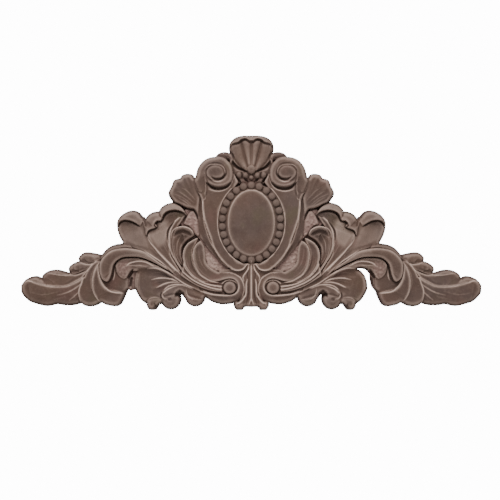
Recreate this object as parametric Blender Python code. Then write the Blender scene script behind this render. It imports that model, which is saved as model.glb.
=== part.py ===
"""Carved crest panel in moulded foam: a beaded oval medallion between two acanthus scrolls.

The panel is one solid with a flat back. Its front is a height field: each leaf, roll and groove
is laid on a grid of points in the order in which a carver would set it out, first on one half,
which is then mirrored. Places are in millimetres, outward from the middle and up from the medallion.
"""
from math import cos, pi, radians, sin

import bmesh
import bpy
import numpy as np

# Driving dimensions, in metres
PANEL_WIDTH = 0.922
PANEL_HEIGHT = 0.351
EDGE_THICKNESS = 0.008
GROUND_THICKNESS = 0.013
GRID_PITCH = 0.0025
FACE_BUDGET = 9600

# Dimensions of the drawing, in millimetres
MM = 0.001
PITCH = GRID_PITCH / MM
EDGE = EDGE_THICKNESS / MM
GROUND = GROUND_THICKNESS / MM
HALF_WIDTH = PANEL_WIDTH / MM / 2
TOP = 174.5
BOTTOM = TOP - PANEL_HEIGHT / MM
MARGIN = 4 * PITCH
EDGE_ROUND = 8.0
CURVE_STEP = 3.0
OUTSIDE = -100.0
EDGE_BLEND = 3.0
AXIS = -1.0

# Medallion and its beads
OVAL_RADII = (45.4, 64.6)
BEAD_RING_RADII = (56.8, 73.6)
MEDALLION_Z = -1.6
BEADS = 26
BEAD_RADIUS = 7.6

FOAM_COLOUR = (0.168, 0.114, 0.095, 1.0)
FOAM_ROUGHNESS = 0.72


def smooth(points):
    """Close samples of the curve that passes through the points; further columns follow along."""
    pts = np.array(points, float)
    pts = np.vstack([2 * pts[0] - pts[1], pts, 2 * pts[-1] - pts[-2]])
    samples = []
    for before, start, end, after in zip(pts, pts[1:], pts[2:], pts[3:]):
        count = max(1, int(np.hypot(*(end - start)[:2]) / CURVE_STEP))
        for i in range(count):
            t = i / count
            bend = 2 * before - 5 * start + 4 * end - after
            twist = 3 * start - before - 3 * end + after
            samples.append(start + 0.5 * t * (end - before + t * (bend + t * twist)))
    samples.append(pts[-2])
    return np.array(samples)


def outline(*runs):
    """Closed outline of smooth runs that meet in corners."""
    return np.vstack([smooth(run)[:-1] for run in runs])


def inside(border, x, z):
    """Which of the points lie within a closed outline."""
    within = np.zeros(x.shape, bool)
    for (x0, z0), (x1, z1) in zip(border, np.roll(border, -1, axis=0)):
        if z0 != z1:
            spans = (z0 > z) != (z1 > z)
            within ^= spans & (x < x0 + (z - z0) * (x1 - x0) / (z1 - z0))
    return within


class Relief:
    """Height of the carving and distance inside its outline, on a grid over one half."""

    def __init__(self):
        self.xs = np.arange(0.0, HALF_WIDTH + MARGIN, PITCH)
        self.zs = np.arange(BOTTOM - MARGIN, TOP + MARGIN, PITCH)
        self.x, self.z = np.meshgrid(self.xs, self.zs)
        self.height = np.zeros(self.x.shape)
        self.cover = np.full(self.x.shape, OUTSIDE)

    def window(self, points, reach):
        """Slices of the grid around some points."""
        low = points[:, :2].min(axis=0) - reach
        high = points[:, :2].max(axis=0) + reach
        i0 = max(0, int(low[0] / PITCH))
        j0 = max(0, int((low[1] - self.zs[0]) / PITCH))
        i1 = max(i0 + 1, int(high[0] / PITCH) + 2)
        j1 = max(j0 + 1, int((high[1] - self.zs[0]) / PITCH) + 2)
        return slice(j0, j1), slice(i0, i1)

    def nearest(self, path, reach):
        """Window around a path, with the distance to it, the place along it and the side."""
        win = self.window(path, reach)
        x, z = self.x[win], self.z[win]
        far = np.full(x.shape, -OUTSIDE)
        along = np.zeros(x.shape)
        side = np.ones(x.shape)
        for k, (start, end) in enumerate(zip(path, path[1:])):
            rows, columns = self.window(path[k:k + 2], reach)
            part = (slice(rows.start - win[0].start, rows.stop - win[0].start),
                    slice(columns.start - win[1].start, columns.stop - win[1].start))
            dx, dz = (end - start)[:2]
            px = x[part] - start[0]
            pz = z[part] - start[1]
            t = np.clip((px * dx + pz * dz) / max(dx * dx + dz * dz, 1e-9), 0, 1)
            gap = np.hypot(px - t * dx, pz - t * dz)
            closer = gap < far[part]
            far[part][closer] = gap[closer]
            along[part][closer] = (k + t)[closer]
            side[part][closer] = np.sign(dx * pz - dz * px)[closer]
        return win, far, along, side

    def stroke(self, stations):
        """Window, place across (-1 to 1), third column and half width of a stroke."""
        path = smooth(stations)
        win, far, along, side = self.nearest(path, path[:, 2].max() + 2 * PITCH)
        steps = np.arange(len(path))
        half = np.maximum(np.interp(along, steps, path[:, 2]), 0.01)
        return win, side * far / half, np.interp(along, steps, path[:, 3]), half

    def lay(self, win, surface, depth_inside):
        """Put a surface over what is there, with a soft step at its edge."""
        share = np.clip(0.5 + depth_inside / EDGE_BLEND, 0, 1)
        share = np.where((self.cover[win] < 0) & (share > 0), 1, share)
        self.height[win] += share * (surface - self.height[win])
        self.cover[win] = np.maximum(self.cover[win], depth_inside)

    def area(self, border, shoulder):
        """Window around an area, the distance inside its border, and how far its crown has risen."""
        ring = np.vstack([border, border[:1]])
        win, far, _, _ = self.nearest(ring, shoulder + 3 * PITCH)
        within = inside(border, self.x[win], self.z[win])
        rise = np.clip(far / shoulder, 0, 1)
        return win, np.where(within, far, -far), np.sqrt(1 - (1 - rise) ** 2)

    def plate(self, border, level):
        """Flat ground."""
        win, into, _ = self.area(border, EDGE_ROUND)
        self.lay(win, np.maximum(self.height[win], level), into)

    def crown(self, border, level, drop, shoulder, tilt=(0.0, 0.0)):
        """Area with rounded edges: lower by drop at its border, and tilted out and up."""
        win, into, rise = self.area(border, shoulder)
        middle = border.mean(axis=0)
        slope = tilt[0] * (self.x[win] - middle[0]) + tilt[1] * (self.z[win] - middle[1])
        self.lay(win, level + slope - drop * (1 - rise), into)

    def roll(self, stations, drop):
        """Half-round bar, given by its middle line, half width and top."""
        win, across, top, half = self.stroke(stations)
        surface = top - drop * (1 - np.sqrt(np.clip(1 - across ** 2, 0, 1)))
        self.lay(win, np.maximum(surface, self.height[win]), half * (1 - np.abs(across)))

    def strip(self, left, right, hollow):
        """Leaf between two edges, given with their heights; its face is hollow, or bulges if negative."""
        left, right = smooth(left), smooth(right)
        border = np.vstack([left, right[::-1]])[:, :2]
        win = self.window(border, 2 * PITCH)
        within = inside(border, self.x[win], self.z[win])
        far_left, level_left = self.measure(left, win)
        far_right, level_right = self.measure(right, win)
        share = far_left / np.maximum(far_left + far_right, 0.01)
        surface = level_left + share * (level_right - level_left) - 4 * hollow * share * (1 - share)
        ends = [self.measure(np.array([left[k], right[k]]), win)[0] for k in (0, -1)]
        into = np.minimum(np.minimum(far_left, far_right), np.minimum(*ends))
        self.lay(win, surface, np.where(within, into, -into))

    def measure(self, line, win):
        """Distance from the points of a window to a line, and the line's height there."""
        x, z = self.x[win], self.z[win]
        far = np.full(x.shape, -OUTSIDE)
        level = np.zeros(x.shape)
        for start, end in zip(line, line[1:]):
            dx, dz, climb = end - start
            t = np.clip(((x - start[0]) * dx + (z - start[1]) * dz) / max(dx * dx + dz * dz, 1e-9), 0, 1)
            gap = np.hypot(x - start[0] - t * dx, z - start[1] - t * dz)
            closer = gap < far
            far[closer] = gap[closer]
            level[closer] = (start[2] + t * climb)[closer]
        return far, level

    def channel(self, stations, hollow):
        """Leaf with raised sides and a hollow face."""
        win, across, top, half = self.stroke(stations)
        surface = top - hollow * np.clip(1 - across ** 2, 0, 1)
        self.lay(win, surface, half * (1 - np.abs(across)))

    def band(self, stations, drop, fall):
        """Turning band: rolled over at its outer side by drop, falling off to its inner side."""
        win, across, top, half = self.stroke(stations)
        outward = np.clip((-across - 0.3) / 0.7, 0, 1)
        inward = np.clip((across + 0.3) / 1.3, 0, 1)
        surface = top - drop * (1 - np.sqrt(1 - outward ** 2)) - fall * inward ** 2
        self.lay(win, surface, half * (1 - np.abs(across)))

    def crest(self, stations):
        """Ridge along a line, given by half width and rise."""
        win, across, rise, _ = self.stroke(stations)
        self.height[win] += rise * np.clip(1 - np.abs(across), 0, 1) ** 1.3

    def groove(self, stations):
        """Cut along a line, given by half width and depth."""
        win, across, depth, _ = self.stroke(stations)
        self.height[win] -= depth * np.clip(1 - np.abs(across), 0, 1) ** 1.2

    def hollow(self, stations):
        """Soft dip along a line, given by half width and depth."""
        win, across, depth, _ = self.stroke(stations)
        self.height[win] -= depth * np.clip(1 - across ** 2, 0, 1) ** 2

    def dome(self, place, radii, top, rise, power=0.5):
        """Round or oval boss."""
        corners = np.array([[place[0] - radii[0], place[1] - radii[1]],
                            [place[0] + radii[0], place[1] + radii[1]]])
        win = self.window(corners, PITCH)
        spread = np.hypot((self.x[win] - place[0]) / radii[0], (self.z[win] - place[1]) / radii[1])
        surface = top - rise * (1 - np.clip(1 - spread ** 2, 0, 1) ** power)
        self.lay(win, np.maximum(surface, self.height[win]), min(radii) * (1 - spread))


def lay_ground(panel):
    """Ground that shows between the leaves and ties them together."""
    panel.plate(outline([(AXIS, 150), (38, 150), (42, 130), (95, 112), (112, 84), (150, 74), (157, 36),
                         (200, 12), (213, 1), (225, 12), (250, 13), (258, 0), (258, -50), (284, -62),
                         (282, -100), (262, -100), (246, -134), (231, -135), (224, -148), (200, -160),
                         (150, -160), (141, -140), (100, -140), (60, -155), (AXIS, -160)],
                        [(AXIS, -160), (AXIS, 150)]), GROUND)
    panel.plate(outline([(99, 36), (140, 20), (146, 0), (120, -20), (100, -40), (84, -92), (60, -98),
                         (40, -100), (60, -74), (80, -40), (90, 0), (99, 36)]), GROUND + 7)
    panel.plate(outline([(250, -56), (275, -56), (292, -64), (320, -74), (352, -90), (362, -104),
                         (410, -112), (448, -128), (440, -146), (410, -158), (345, -152), (300, -150),
                         (262, -146), (246, -130)], [(246, -130), (250, -56)]), GROUND)


MIDRIB = [(454, -119, 20), (437, -121, 22), (423, -126, 24), (407, -129, 26), (391, -129, 27),
          (377, -128, 28), (363, -125, 29), (351, -119, 29), (340, -112, 29), (331, -103, 29),
          (324, -94, 29), (316, -84, 29), (308, -75, 28), (299, -66, 26)]
LOWER_LOBE_SIDE = [(343, -160, 16), (345, -150, 24), (344, -140, 27), (341, -128, 28), (333, -114, 29),
                   (325, -102, 30), (315, -88, 30), (304, -74, 29)]
HOOK_LOBE_SIDE = [(300, -160, 16), (310, -149, 25), (316, -136, 28), (318, -118, 29), (316, -107, 30),
                  (310, -94, 30), (302, -80, 30), (296, -70, 28)]
HOOK_RIM = [(262, -140, 22), (275, -140, 27), (284, -136, 29), (292, -130, 30), (298, -120, 30),
            (302, -110, 30), (304, -98, 30), (303, -88, 31), (299, -78, 32), (291, -68, 32)]


def lay_wing(panel):
    """Outer leaf of the scroll: a midrib with lobes above it and below it."""
    panel.crown(outline([(253, -43), (273, -46), (287, -53), (299, -66)], [(299, -66), (320, -84),
                                                                           (330, -120)],
                        [(330, -120), (300, -158)], [(300, -158), (291, -166), (274, -170), (263, -164)],
                        [(263, -164), (246, -134)], [(246, -134), (246, -60)], [(246, -60), (253, -43)]),
                18, drop=5, shoulder=12)
    panel.strip([(345, -68, 15), (339, -62, 16), (329, -60, 17), (319, -61, 18), (309, -64, 20),
                 (299, -66, 24)],
                [(345, -79, 15), (333, -84, 18), (321, -86, 20), (312, -82, 22),
                 (302, -74, 24)], hollow=-2)
    panel.strip([(364, -97, 15), (365, -88, 15), (361, -82, 16), (354, -79, 17), (345, -80, 19),
                 (333, -84, 22), (321, -86, 24), (310, -80, 26)],
                [(363, -103, 16), (345, -104, 19), (333, -100, 21), (325, -97, 23),
                 (316, -88, 25)], hollow=2)
    panel.strip([(453, -117, 15), (440, -113.5, 15), (427, -110, 15), (414, -102, 16), (400, -95, 17),
                 (386, -95, 18), (373, -99, 19), (363, -104, 21), (345, -105, 23), (333, -101, 25),
                 (324, -95, 26)],
                [(454, -120, 17), (437, -122, 18), (424, -126, 19), (407, -130, 20), (391, -130, 21),
                 (377, -129, 22), (363, -126, 23), (351, -120, 24), (336, -110, 25),
                 (326, -98, 26)], hollow=4)
    panel.strip(MIDRIB[:10],
                [(461, -131, 15), (454, -150, 14), (435, -163, 14), (410, -170, 14), (388, -164, 14),
                 (364, -168, 14), (345, -163, 14), (340, -150, 16), (334, -130, 18),
                 (329, -108, 22)], hollow=-2)
    for dip in WING_DIPS:
        panel.hollow(dip)
    for rib in WING_RIBS:
        panel.crest(rib)
    panel.strip(LOWER_LOBE_SIDE,
                [(299, -160, 14), (309, -149, 17), (315, -136, 18), (317, -118, 19), (315, -107, 20),
                 (309, -94, 22), (303, -82, 26)], hollow=3)
    panel.crown(outline([(343, -158), (340, -161), (331, -168), (320, -169.5), (309, -167), (299, -160)],
                        [(299, -160), (310, -146), (344, -148), (343, -158)]), 20, drop=6, shoulder=10)
    panel.strip(HOOK_LOBE_SIDE,
                [(256, -152, 14), (262, -141, 17), (275, -141, 20), (284, -137, 21), (292, -131, 22),
                 (298, -121, 23), (302, -110, 24), (304, -98, 25), (303, -88, 26)], hollow=3)
    panel.crown(outline([(300, -158), (291, -166), (274, -170), (263, -164)], [(263, -164), (256, -151)],
                        [(256, -151), (280, -148), (302, -150), (300, -158)]), 21, drop=6, shoulder=10)
    panel.crest([(258, -140, 4, 2), (275, -140, 6, 5), (284, -136, 6, 6), (292, -130, 6, 6),
                 (298, -120, 6, 6), (302, -110, 6, 5), (304, -98, 6, 5), (303, -88, 5, 4)])


WING_DIPS = (
    [(430, -140, 12, 1), (405, -143, 12, 3), (380, -143, 12, 4), (358, -146, 10, 4), (344, -150, 8, 2)],
    [(360, -132, 6, 1), (348, -126, 7, 4), (338, -116, 6, 3)],
)
WING_RIBS = (
    [(451, -119, 5, 1), (437, -121, 6, 2), (423, -126, 6, 3), (407, -129, 6, 3), (391, -129, 6, 3),
     (377, -128, 6, 3), (363, -125, 6, 3), (350, -118, 5, 2)],
    [(367, -140, 4, 2), (355, -136, 5, 4), (345, -130, 5, 4), (338, -120, 4, 3)],
    [(361, -151, 4, 2), (351, -144, 5, 4), (343, -137, 4, 3)],
)


def lay_under_leaf(panel):
    """Small leaf that curls out below the arch."""
    panel.strip([(271, -86, 22), (264, -76, 22), (250, -72, 22), (237, -71, 22), (223, -72, 22),
                 (209, -76, 22), (197, -82, 22), (183, -88, 22), (163, -100, 22), (152, -107, 22)],
                [(271, -89, 20), (269, -100, 20), (263, -109, 20), (254, -114, 19), (248, -110, 19),
                 (243, -102, 20), (235, -97, 20), (225, -96, 20), (212, -96, 20), (200, -94, 20),
                 (184, -98, 21), (170, -104, 22), (155, -112, 22)], hollow=-3)
    panel.crest([(247, -84, 4, 1), (233, -80, 5, 4), (221, -78, 5, 4), (209, -81, 5, 4), (197, -86, 5, 4),
                 (180, -93, 4, 3), (160, -102, 3, 1)])


def lay_fan_leaf(panel):
    """Broad leaf below the scroll, fluted towards the stem."""
    rim = outline([(207, -93), (218, -97), (226, -107), (231, -124), (228, -142), (219, -156),
                   (207, -165)],
                  [(207, -165), (150, -160), (100, -150)], [(100, -150), (120, -118), (160, -96),
                                                            (207, -93)])
    panel.crown(rim, 21, drop=6, shoulder=16, tilt=(-0.04, 0.0))
    for dip in ([(205, -104, 6, 2), (185, -104, 7, 4), (165, -107, 5, 4), (148, -116, 3, 2)],
                [(195, -124, 7, 2), (178, -121, 7, 4), (160, -118, 4, 3)],
                [(190, -140, 8, 2), (176, -134, 7, 4), (162, -127, 5, 3), (148, -124, 3, 2)]):
        panel.hollow(dip)
    for rib in ([(207, -93, 5, 2), (194, -92, 6, 4), (184, -95, 6, 5), (173, -100, 6, 5),
                 (161, -107, 5, 5), (149, -115, 5, 5), (139, -121, 4, 3)],
                [(201, -115, 4, 2), (187, -113, 5, 4), (171, -113, 5, 4), (159, -114, 4, 4),
                 (147, -117, 4, 3)],
                [(189, -131, 4, 1), (181, -127, 5, 3), (171, -123, 5, 4), (159, -121, 4, 4),
                 (147, -122, 4, 3)]):
        panel.crest(rib)


def lay_hooks(panel):
    """Curled tips along the lower edge."""
    panel.roll([(200, -171, 5, 23), (201, -165, 7.5, 25), (197, -157, 8.5, 26), (188, -151, 9, 27),
                (176, -150, 10, 27), (164, -146, 12, 27)], drop=8)
    panel.dome((160, -154), (20, 21.5), 31, 14)
    panel.roll([(190, -160, 3, 22), (184, -157, 4, 24), (176, -158, 5, 25)], drop=5)
    panel.roll([(133, -138, 9, 27), (124, -143, 14, 29), (116, -147, 17, 30)], drop=10)
    panel.dome((111, -149), (19, 18.5), 32, 14)
    panel.hollow([(152, -141, 5, 4), (146, -143, 7, 9), (141, -145, 6, 6)])
    panel.roll([(170, -136, 4, 29), (158, -131.5, 6, 31), (147, -129, 6, 32), (135, -129, 6, 32),
                (123, -131, 5, 32), (110, -136, 4, 32), (101, -141, 3, 30)], drop=5)


def lay_tall_lobe(panel):
    """Tall leaf that stands up from the scroll, its tip turned over."""
    panel.strip([(268, 0, 22), (268, -8, 22), (266, -20, 22), (260, -34, 23), (250, -47, 25),
                 (232, -53, 28), (213, -59, 31), (199, -69, 31), (184, -79, 31), (170, -89, 31),
                 (160, -99, 30)],
                [(216, 10, 24), (216, 2, 24), (215, -8, 24), (212, -18, 24), (206, -32, 24),
                 (197, -45, 25), (188, -58, 26), (179, -69, 27), (169, -81, 28), (161, -92, 29),
                 (154, -100, 29)], hollow=2)
    panel.hollow([(236, -22, 12, 2), (225, -40, 12, 4), (208, -53, 9, 4), (190, -69, 6, 3)])
    panel.strip([(267, -10, 22), (267, 2, 22), (263, 9, 22), (257, 15, 22), (247, 20.5, 22),
                 (237, 22.5, 22), (227, 20.5, 22), (219, 13, 22), (213, 5, 22)],
                [(265, -10, 26), (262, 0, 29), (255, 4, 31), (245, 5, 32), (235, 2, 32), (227, -3, 30),
                 (221, -9, 27), (214, -6, 24)], hollow=-4)


def lay_arch(panel):
    """Rolled stem that arches over and ends in a hook."""
    panel.strip([(299, -66, 20), (287, -53, 20), (273, -46, 20), (263, -44, 20), (252, -43, 22),
                 (240, -47, 26)],
                [(299, -76, 30), (291, -67, 30), (277, -58, 30), (262, -53, 30), (247, -52, 30),
                 (236, -53, 30)],
                hollow=-2)
    panel.strip([(290, -119, 26), (297, -114, 28), (301, -103, 30), (302, -89, 32), (299, -77, 33),
                 (290, -66, 33), (277, -57, 33), (262, -53, 33), (247, -52, 32), (230, -54, 32),
                 (213, -58.5, 32), (199, -68, 32), (184, -79, 32), (170, -89, 32), (160, -99, 31),
                 (150, -107, 30)],
                [(287, -120, 26), (283, -116, 27), (279, -106, 28), (276, -94, 29), (274, -86, 30),
                 (268, -78, 30), (258, -71.5, 30), (249, -70, 30), (237, -69.5, 30), (223, -70.5, 30),
                 (209, -74.5, 29), (197, -80, 28), (185, -86, 28), (163, -99, 28), (152, -106, 28),
                 (146, -110, 28)], hollow=-3)
    panel.crest([(228, -53.5, 4, 1), (213, -58.5, 5, 3), (199, -68, 5, 3), (184, -79, 5, 3),
                 (170, -89, 4, 3), (159, -99, 4, 3), (150, -106, 3, 2)])


BIG_LEAF_RIB = [(143, 10, 28), (151, 3, 29), (157, -6, 30), (161, -15, 31), (164, -27, 32),
                (165, -40, 32), (163, -52, 32), (161, -65, 32), (155, -76, 32), (148, -87, 32),
                (140, -99, 32), (128, -109, 31)]


def lay_big_leaf(panel):
    """Main leaf, its face hollowed between two ribs."""
    panel.crown(outline([(207, -26), (212, -12), (212, 4), (204, 15), (193, 20), (183, 21)],
                        [(183, 21), (177, 31), (168, 36), (156, 39)], [(156, 39), (140, 28), (130, 14)],
                        [(130, 14), (150, 0), (164, -30)], [(164, -30),
                                                            (207, -26)]), 27, drop=4, shoulder=5)
    panel.strip([(208, -22, 28), (205, -31, 30), (198, -42, 30), (189, -55, 30), (180, -65, 30),
                 (170, -76, 30), (161, -87, 30), (151, -97, 31), (140, -107, 31), (128, -115, 31)],
                [(148, 4, 27), (157, -5, 27), (161, -15, 27), (163, -27, 27), (164, -40, 27),
                 (162, -52, 27), (160, -65, 27), (154, -76, 27), (147, -87, 28), (139, -99, 29),
                 (127, -109, 30)], hollow=4)
    panel.crest([(184, -69, 3, 2), (177, -77, 4, 4), (170, -85, 4, 5), (159, -95, 4, 5),
                 (147, -103, 4, 4)])
    panel.crest([(206, -28, 4, 2), (198, -42, 5, 3), (189, -55, 5, 3), (180, -65, 5, 3), (170, -76, 5, 3),
                 (161, -87, 5, 3), (151, -97, 5, 3), (140, -107, 4, 3)])
    panel.strip(BIG_LEAF_RIB,
                [(131, 13, 26), (137, 4, 25), (143, -6, 25), (150, -16, 25), (154, -28, 25),
                 (155, -42, 25), (153, -56, 25), (149, -70, 25), (143, -82, 26), (135, -93, 26),
                 (125, -104, 27)], hollow=2)
    panel.crest([(148, 6, 4, 2), (151, 3, 5, 3), (157, -6, 5, 3), (161, -15, 5, 3), (164, -27, 5, 3),
                 (165, -40, 5, 3), (163, -52, 5, 3), (161, -65, 5, 3), (155, -76, 5, 3), (148, -87, 5, 3),
                 (140, -99, 5, 3), (128, -109, 5, 3), (113, -119, 4, 3)])


def lay_big_leaf_tips(panel):
    """The tips of the main leaf, turned over its face."""
    panel.strip([(210, -27, 24), (213, -14, 24), (213, -4, 26), (206, 4, 28), (196, 5, 29)],
                [(208, -27, 30), (205, -19, 33), (199, -15.5, 35), (193, -13.5, 35),
                 (186, -10, 33)], hollow=-3)
    panel.strip([(212, -2, 22), (212, 5, 22), (208, 11, 22), (201, 17, 22), (193, 20, 23), (182, 21, 26)],
                [(207, -6, 33), (202, -4, 35), (196, -2, 36), (192, 1, 37), (186, 3, 37),
                 (178, 2, 36)], hollow=-3)
    panel.strip([(177, 4, 30), (183, 14, 28), (184, 22, 24), (181, 27, 23), (175, 32, 23),
                 (167, 35.5, 24), (156, 38, 28), (145, 34, 30), (136, 26, 31), (128, 14, 30)],
                [(177, 3, 34), (176, 10, 37), (172, 17, 39), (163, 22, 40), (151, 23.5, 40),
                 (141, 21, 38), (134, 17, 36), (129, 13, 32)], hollow=-3)
    panel.groove([(130, 14, 3, 2), (135, 7, 4, 6), (139, -4, 4, 6), (144, -10, 4, 2)])


FAN_TIPS = ((156, 50), (156, 66), (147, 78), (135, 86), (124, 88), (115, 80))
FAN_ROOT = (101, 20)


def lay_side_fan(panel):
    """Fluted fan between the volute and the main leaf."""
    rim = outline([(156, 40), (163, 50), (165, 59), (159, 71)], [(159, 71), (154, 83), (142, 87)],
                  [(142, 87), (138, 93), (128, 96), (118, 94), (112, 86)], [(112, 86), (106, 60),
                                                                            (97, 40)],
                  [(97, 40), (100, 18), (106, 8)], [(106, 8), (112, 24), (128, 26), (146, 35), (156, 40)])
    panel.crown(rim, 28, drop=4, shoulder=7, tilt=(-0.05, -0.02))
    for tip in FAN_TIPS:
        near, middle = [tuple(root + part * (end - root) for root, end in zip(FAN_ROOT, tip))
                        for part in (0.25, 0.65)]
        panel.hollow([(*near, 3, 1), (*middle, 5, 3.5), (*tip, 6, 1.5)])
    panel.roll([(155, 41, 2, 24), (160, 51, 4, 28), (160, 60, 5, 29), (155, 68, 5, 29)], drop=5)
    panel.roll([(155, 71, 3, 26), (150, 78, 5, 29), (144, 83, 3, 28)], drop=5)
    panel.roll([(140, 87, 2, 26), (134, 91, 4, 29), (125, 92, 4, 29), (116, 89, 3, 28)], drop=5)


def lay_curled_leaf(panel):
    """Small leaf that curls over towards the medallion."""
    panel.strip([(114, -25, 34), (117, -17, 35), (123, -12, 36), (133, -8, 36), (143, -9, 35),
                 (151, -15, 33), (155, -26, 30), (156, -40, 28), (154, -54, 28), (150, -68, 28),
                 (144, -80, 28), (135, -91, 28), (125, -101, 28), (113, -111, 29)],
                [(115, -26, 34), (121, -31, 34), (129, -36, 33), (135, -43, 32), (139, -51, 30),
                 (140, -60, 28), (139, -68, 27), (137, -79, 27), (131, -92, 27), (122, -103, 27),
                 (109, -114, 28)], hollow=5)
    panel.roll([(152, -18, 3, 32), (143, -11, 4.5, 37), (132, -10, 5, 39), (123, -14, 5, 39),
                (115, -23, 3, 36)],
               drop=5)
    panel.crest([(140, -26, 4, 1), (147, -36, 4, 2), (149, -52, 4, 2.5), (146, -68, 4, 2),
                 (138, -82, 3, 1)])


BASIN_RIB = [(117, -31, 33), (123, -36, 34), (131, -46, 34), (136, -56, 34), (138, -67, 34),
             (135, -80, 34), (130, -92, 34), (121, -103, 34), (108, -115, 34), (93, -122, 34),
             (75, -128, 34), (58, -129, 33)]
INNER_BASIN_RIB = [(102, -35, 31), (108, -40, 33), (113, -47, 33), (116, -57, 33), (116, -69, 33),
                   (113, -82, 33), (108, -93, 33), (100, -103, 32), (89, -111, 31), (76, -117, 31)]


def lay_basin_leaves(panel):
    """Two long leaves that sweep down to the button of the lower scroll."""
    panel.strip(BASIN_RIB[:11],
                [(103, -34, 27), (109, -41, 27), (114, -48, 27), (116, -58, 27), (116, -70, 27),
                 (113, -83, 27), (108, -94, 28), (98, -104, 29), (88, -111, 29), (74, -118, 30),
                 (60, -122, 30)], hollow=4)
    panel.strip(INNER_BASIN_RIB,
                [(97, -36, 28), (93, -48, 28), (92, -60, 28), (91, -72, 28), (89, -82, 28), (82, -91, 28),
                 (72, -97, 28), (58, -101, 28)], hollow=5)
    panel.strip([(140, -107, 32), (128, -115, 33), (113, -124, 33), (101, -130, 33), (87, -135, 33),
                 (73, -137, 33), (58, -137, 32)], BASIN_RIB[6:], hollow=3)
    for rib in ([(114, -29, 4, 1), (123, -36, 5, 3), (131, -46, 5, 3), (136, -56, 5, 3), (138, -67, 5, 3),
                 (135, -80, 5, 3), (130, -92, 5, 3), (121, -103, 5, 3), (108, -115, 5, 3),
                 (93, -122, 4, 3), (75, -128, 4, 3), (59, -129, 3, 2)],
                [(102, -35, 4, 1), (108, -40, 4, 3), (113, -47, 5, 3), (116, -57, 5, 3), (116, -69, 5, 3),
                 (113, -82, 5, 3), (108, -93, 4, 3), (100, -103, 4, 2), (91, -110, 3, 1)],
                [(92, -52, 3, 1), (92, -66, 4, 2), (90, -80, 4, 2), (84, -90, 4, 2), (73, -97, 4, 2),
                 (59, -101, 4, 1)],
                [(130, -110, 4, 2), (113, -120, 5, 3), (101, -126, 5, 3), (87, -132, 5, 3),
                 (73, -134, 4, 3), (58, -135, 3, 2)]):
        panel.crest(rib)


def lay_lower_scroll(panel):
    """Band of the scroll at the foot."""
    panel.plate(outline([(100, -104), (59, -101), (29, -104), (14, -117), (12, -137), (24, -156),
                         (49, -164), (73, -161), (98, -146), (110, -136)], [(110, -136),
                                                                            (100, -104)]), 27)
    panel.strip([(88, -88, 27), (73, -97, 27), (59, -101, 27), (43, -101, 28), (29, -104, 28),
                 (19, -110, 28), (14, -117, 28), (12, -127, 28), (12, -137, 27), (16, -148, 26),
                 (24, -156, 25), (37, -162, 24), (49, -164, 23), (62, -164, 23), (73, -161, 23),
                 (82, -157, 23), (92, -149, 24)],
                [(92, -109, 31), (80, -116, 31), (66, -118, 32), (54, -115, 33), (44, -113, 33),
                 (34, -115, 33), (27, -123, 33), (26, -132, 33), (30, -140, 33), (38, -144, 33),
                 (48, -145, 33), (62, -144, 32), (77, -142, 31), (89, -138, 30),
                 (98, -133, 28)], hollow=-2)


def lay_button(panel):
    """Button in the middle of the scroll, with a ridge round it."""
    panel.crest([(98, -133, 3, 1), (89, -138, 4, 3), (77, -141.5, 4, 4), (62, -144, 4, 4),
                 (48, -145, 4, 4), (38, -144, 4, 4), (30, -140, 4, 4), (26, -132, 4, 4),
                 (27, -123, 4, 4), (34, -115.5, 4, 4), (44, -113.5, 4, 4), (54, -116, 4, 3),
                 (62, -120, 3, 1)])
    panel.dome(BUTTON_PLACE, (12, 12), 36, 8, power=0.35)


def lay_palmette(panel):
    """Stem of leaves under the medallion, with two small feet."""
    panel.crown(outline([(AXIS, -80), (6, -90), (15, -104), (17, -109), (12, -122), (11, -136),
                         (14, -148), (22, -158), (34, -160), (34, -167), (31, -174), (25, -176.5), (18, -176),
                         (13, -169.5), (AXIS, -169.5)], [(AXIS, -169.5),
                                                         (AXIS, -80)]), 27, drop=5, shoulder=5)
    panel.roll([(30, -166, 5, 28), (23.5, -167, 8.5, 33), (19, -160, 6, 32), (14, -150, 4, 31)], drop=7)
    panel.hollow([(7, -96, 4, 1), (8, -108, 6, 4), (7, -120, 4, 3)])
    panel.groove([(4, -116, 3, 1), (5, -130, 3.5, 4), (6, -146, 3.5, 4), (9, -160, 3.5, 4),
                  (11, -170, 3, 2)])
    for rib in ([(0, -84, 3, 4), (0, -110, 4, 5), (0, -140, 4.5, 6), (0, -158, 4, 5), (4, -165, 3, 3)],
                [(2, -84, 3, 4), (5, -92, 4, 5), (10, -100, 4, 5), (17, -108, 5, 6), (13, -117, 4, 5),
                 (10, -126, 4, 5), (10, -140, 4, 5), (13, -149, 4, 5), (20, -156, 4, 4),
                 (29, -161, 4, 2)]):
        panel.crest(rib)


def lay_small_roll(panel):
    """Small roll that looks out between the volute and the shell."""
    panel.roll([(69, 127, 4, 20), (62, 131, 6.5, 24), (52, 131.5, 8, 26), (44, 129, 7, 26),
                (38, 124, 6, 24)], drop=8)


def lay_garland(panel):
    """Row of small knobs between the shell and the medallion."""
    panel.crown(outline([(AXIS, 104), (20, 103), (36, 98), (32, 84), (12, 76), (AXIS, 74)],
                        [(AXIS, 74), (AXIS, 104)]),
                22, drop=3, shoulder=4)
    panel.dome((0, 101), (8, 7), 33, 7)
    for x, z, radius in ((12, 92, 6.5), (24, 93, 6.5), (0, 88, 5)):
        panel.dome((x, z), (radius, radius), 31, 7)
    panel.groove([(33, 92, 3, 4), (28, 86, 4, 8), (23, 80, 3, 4)])


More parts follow.
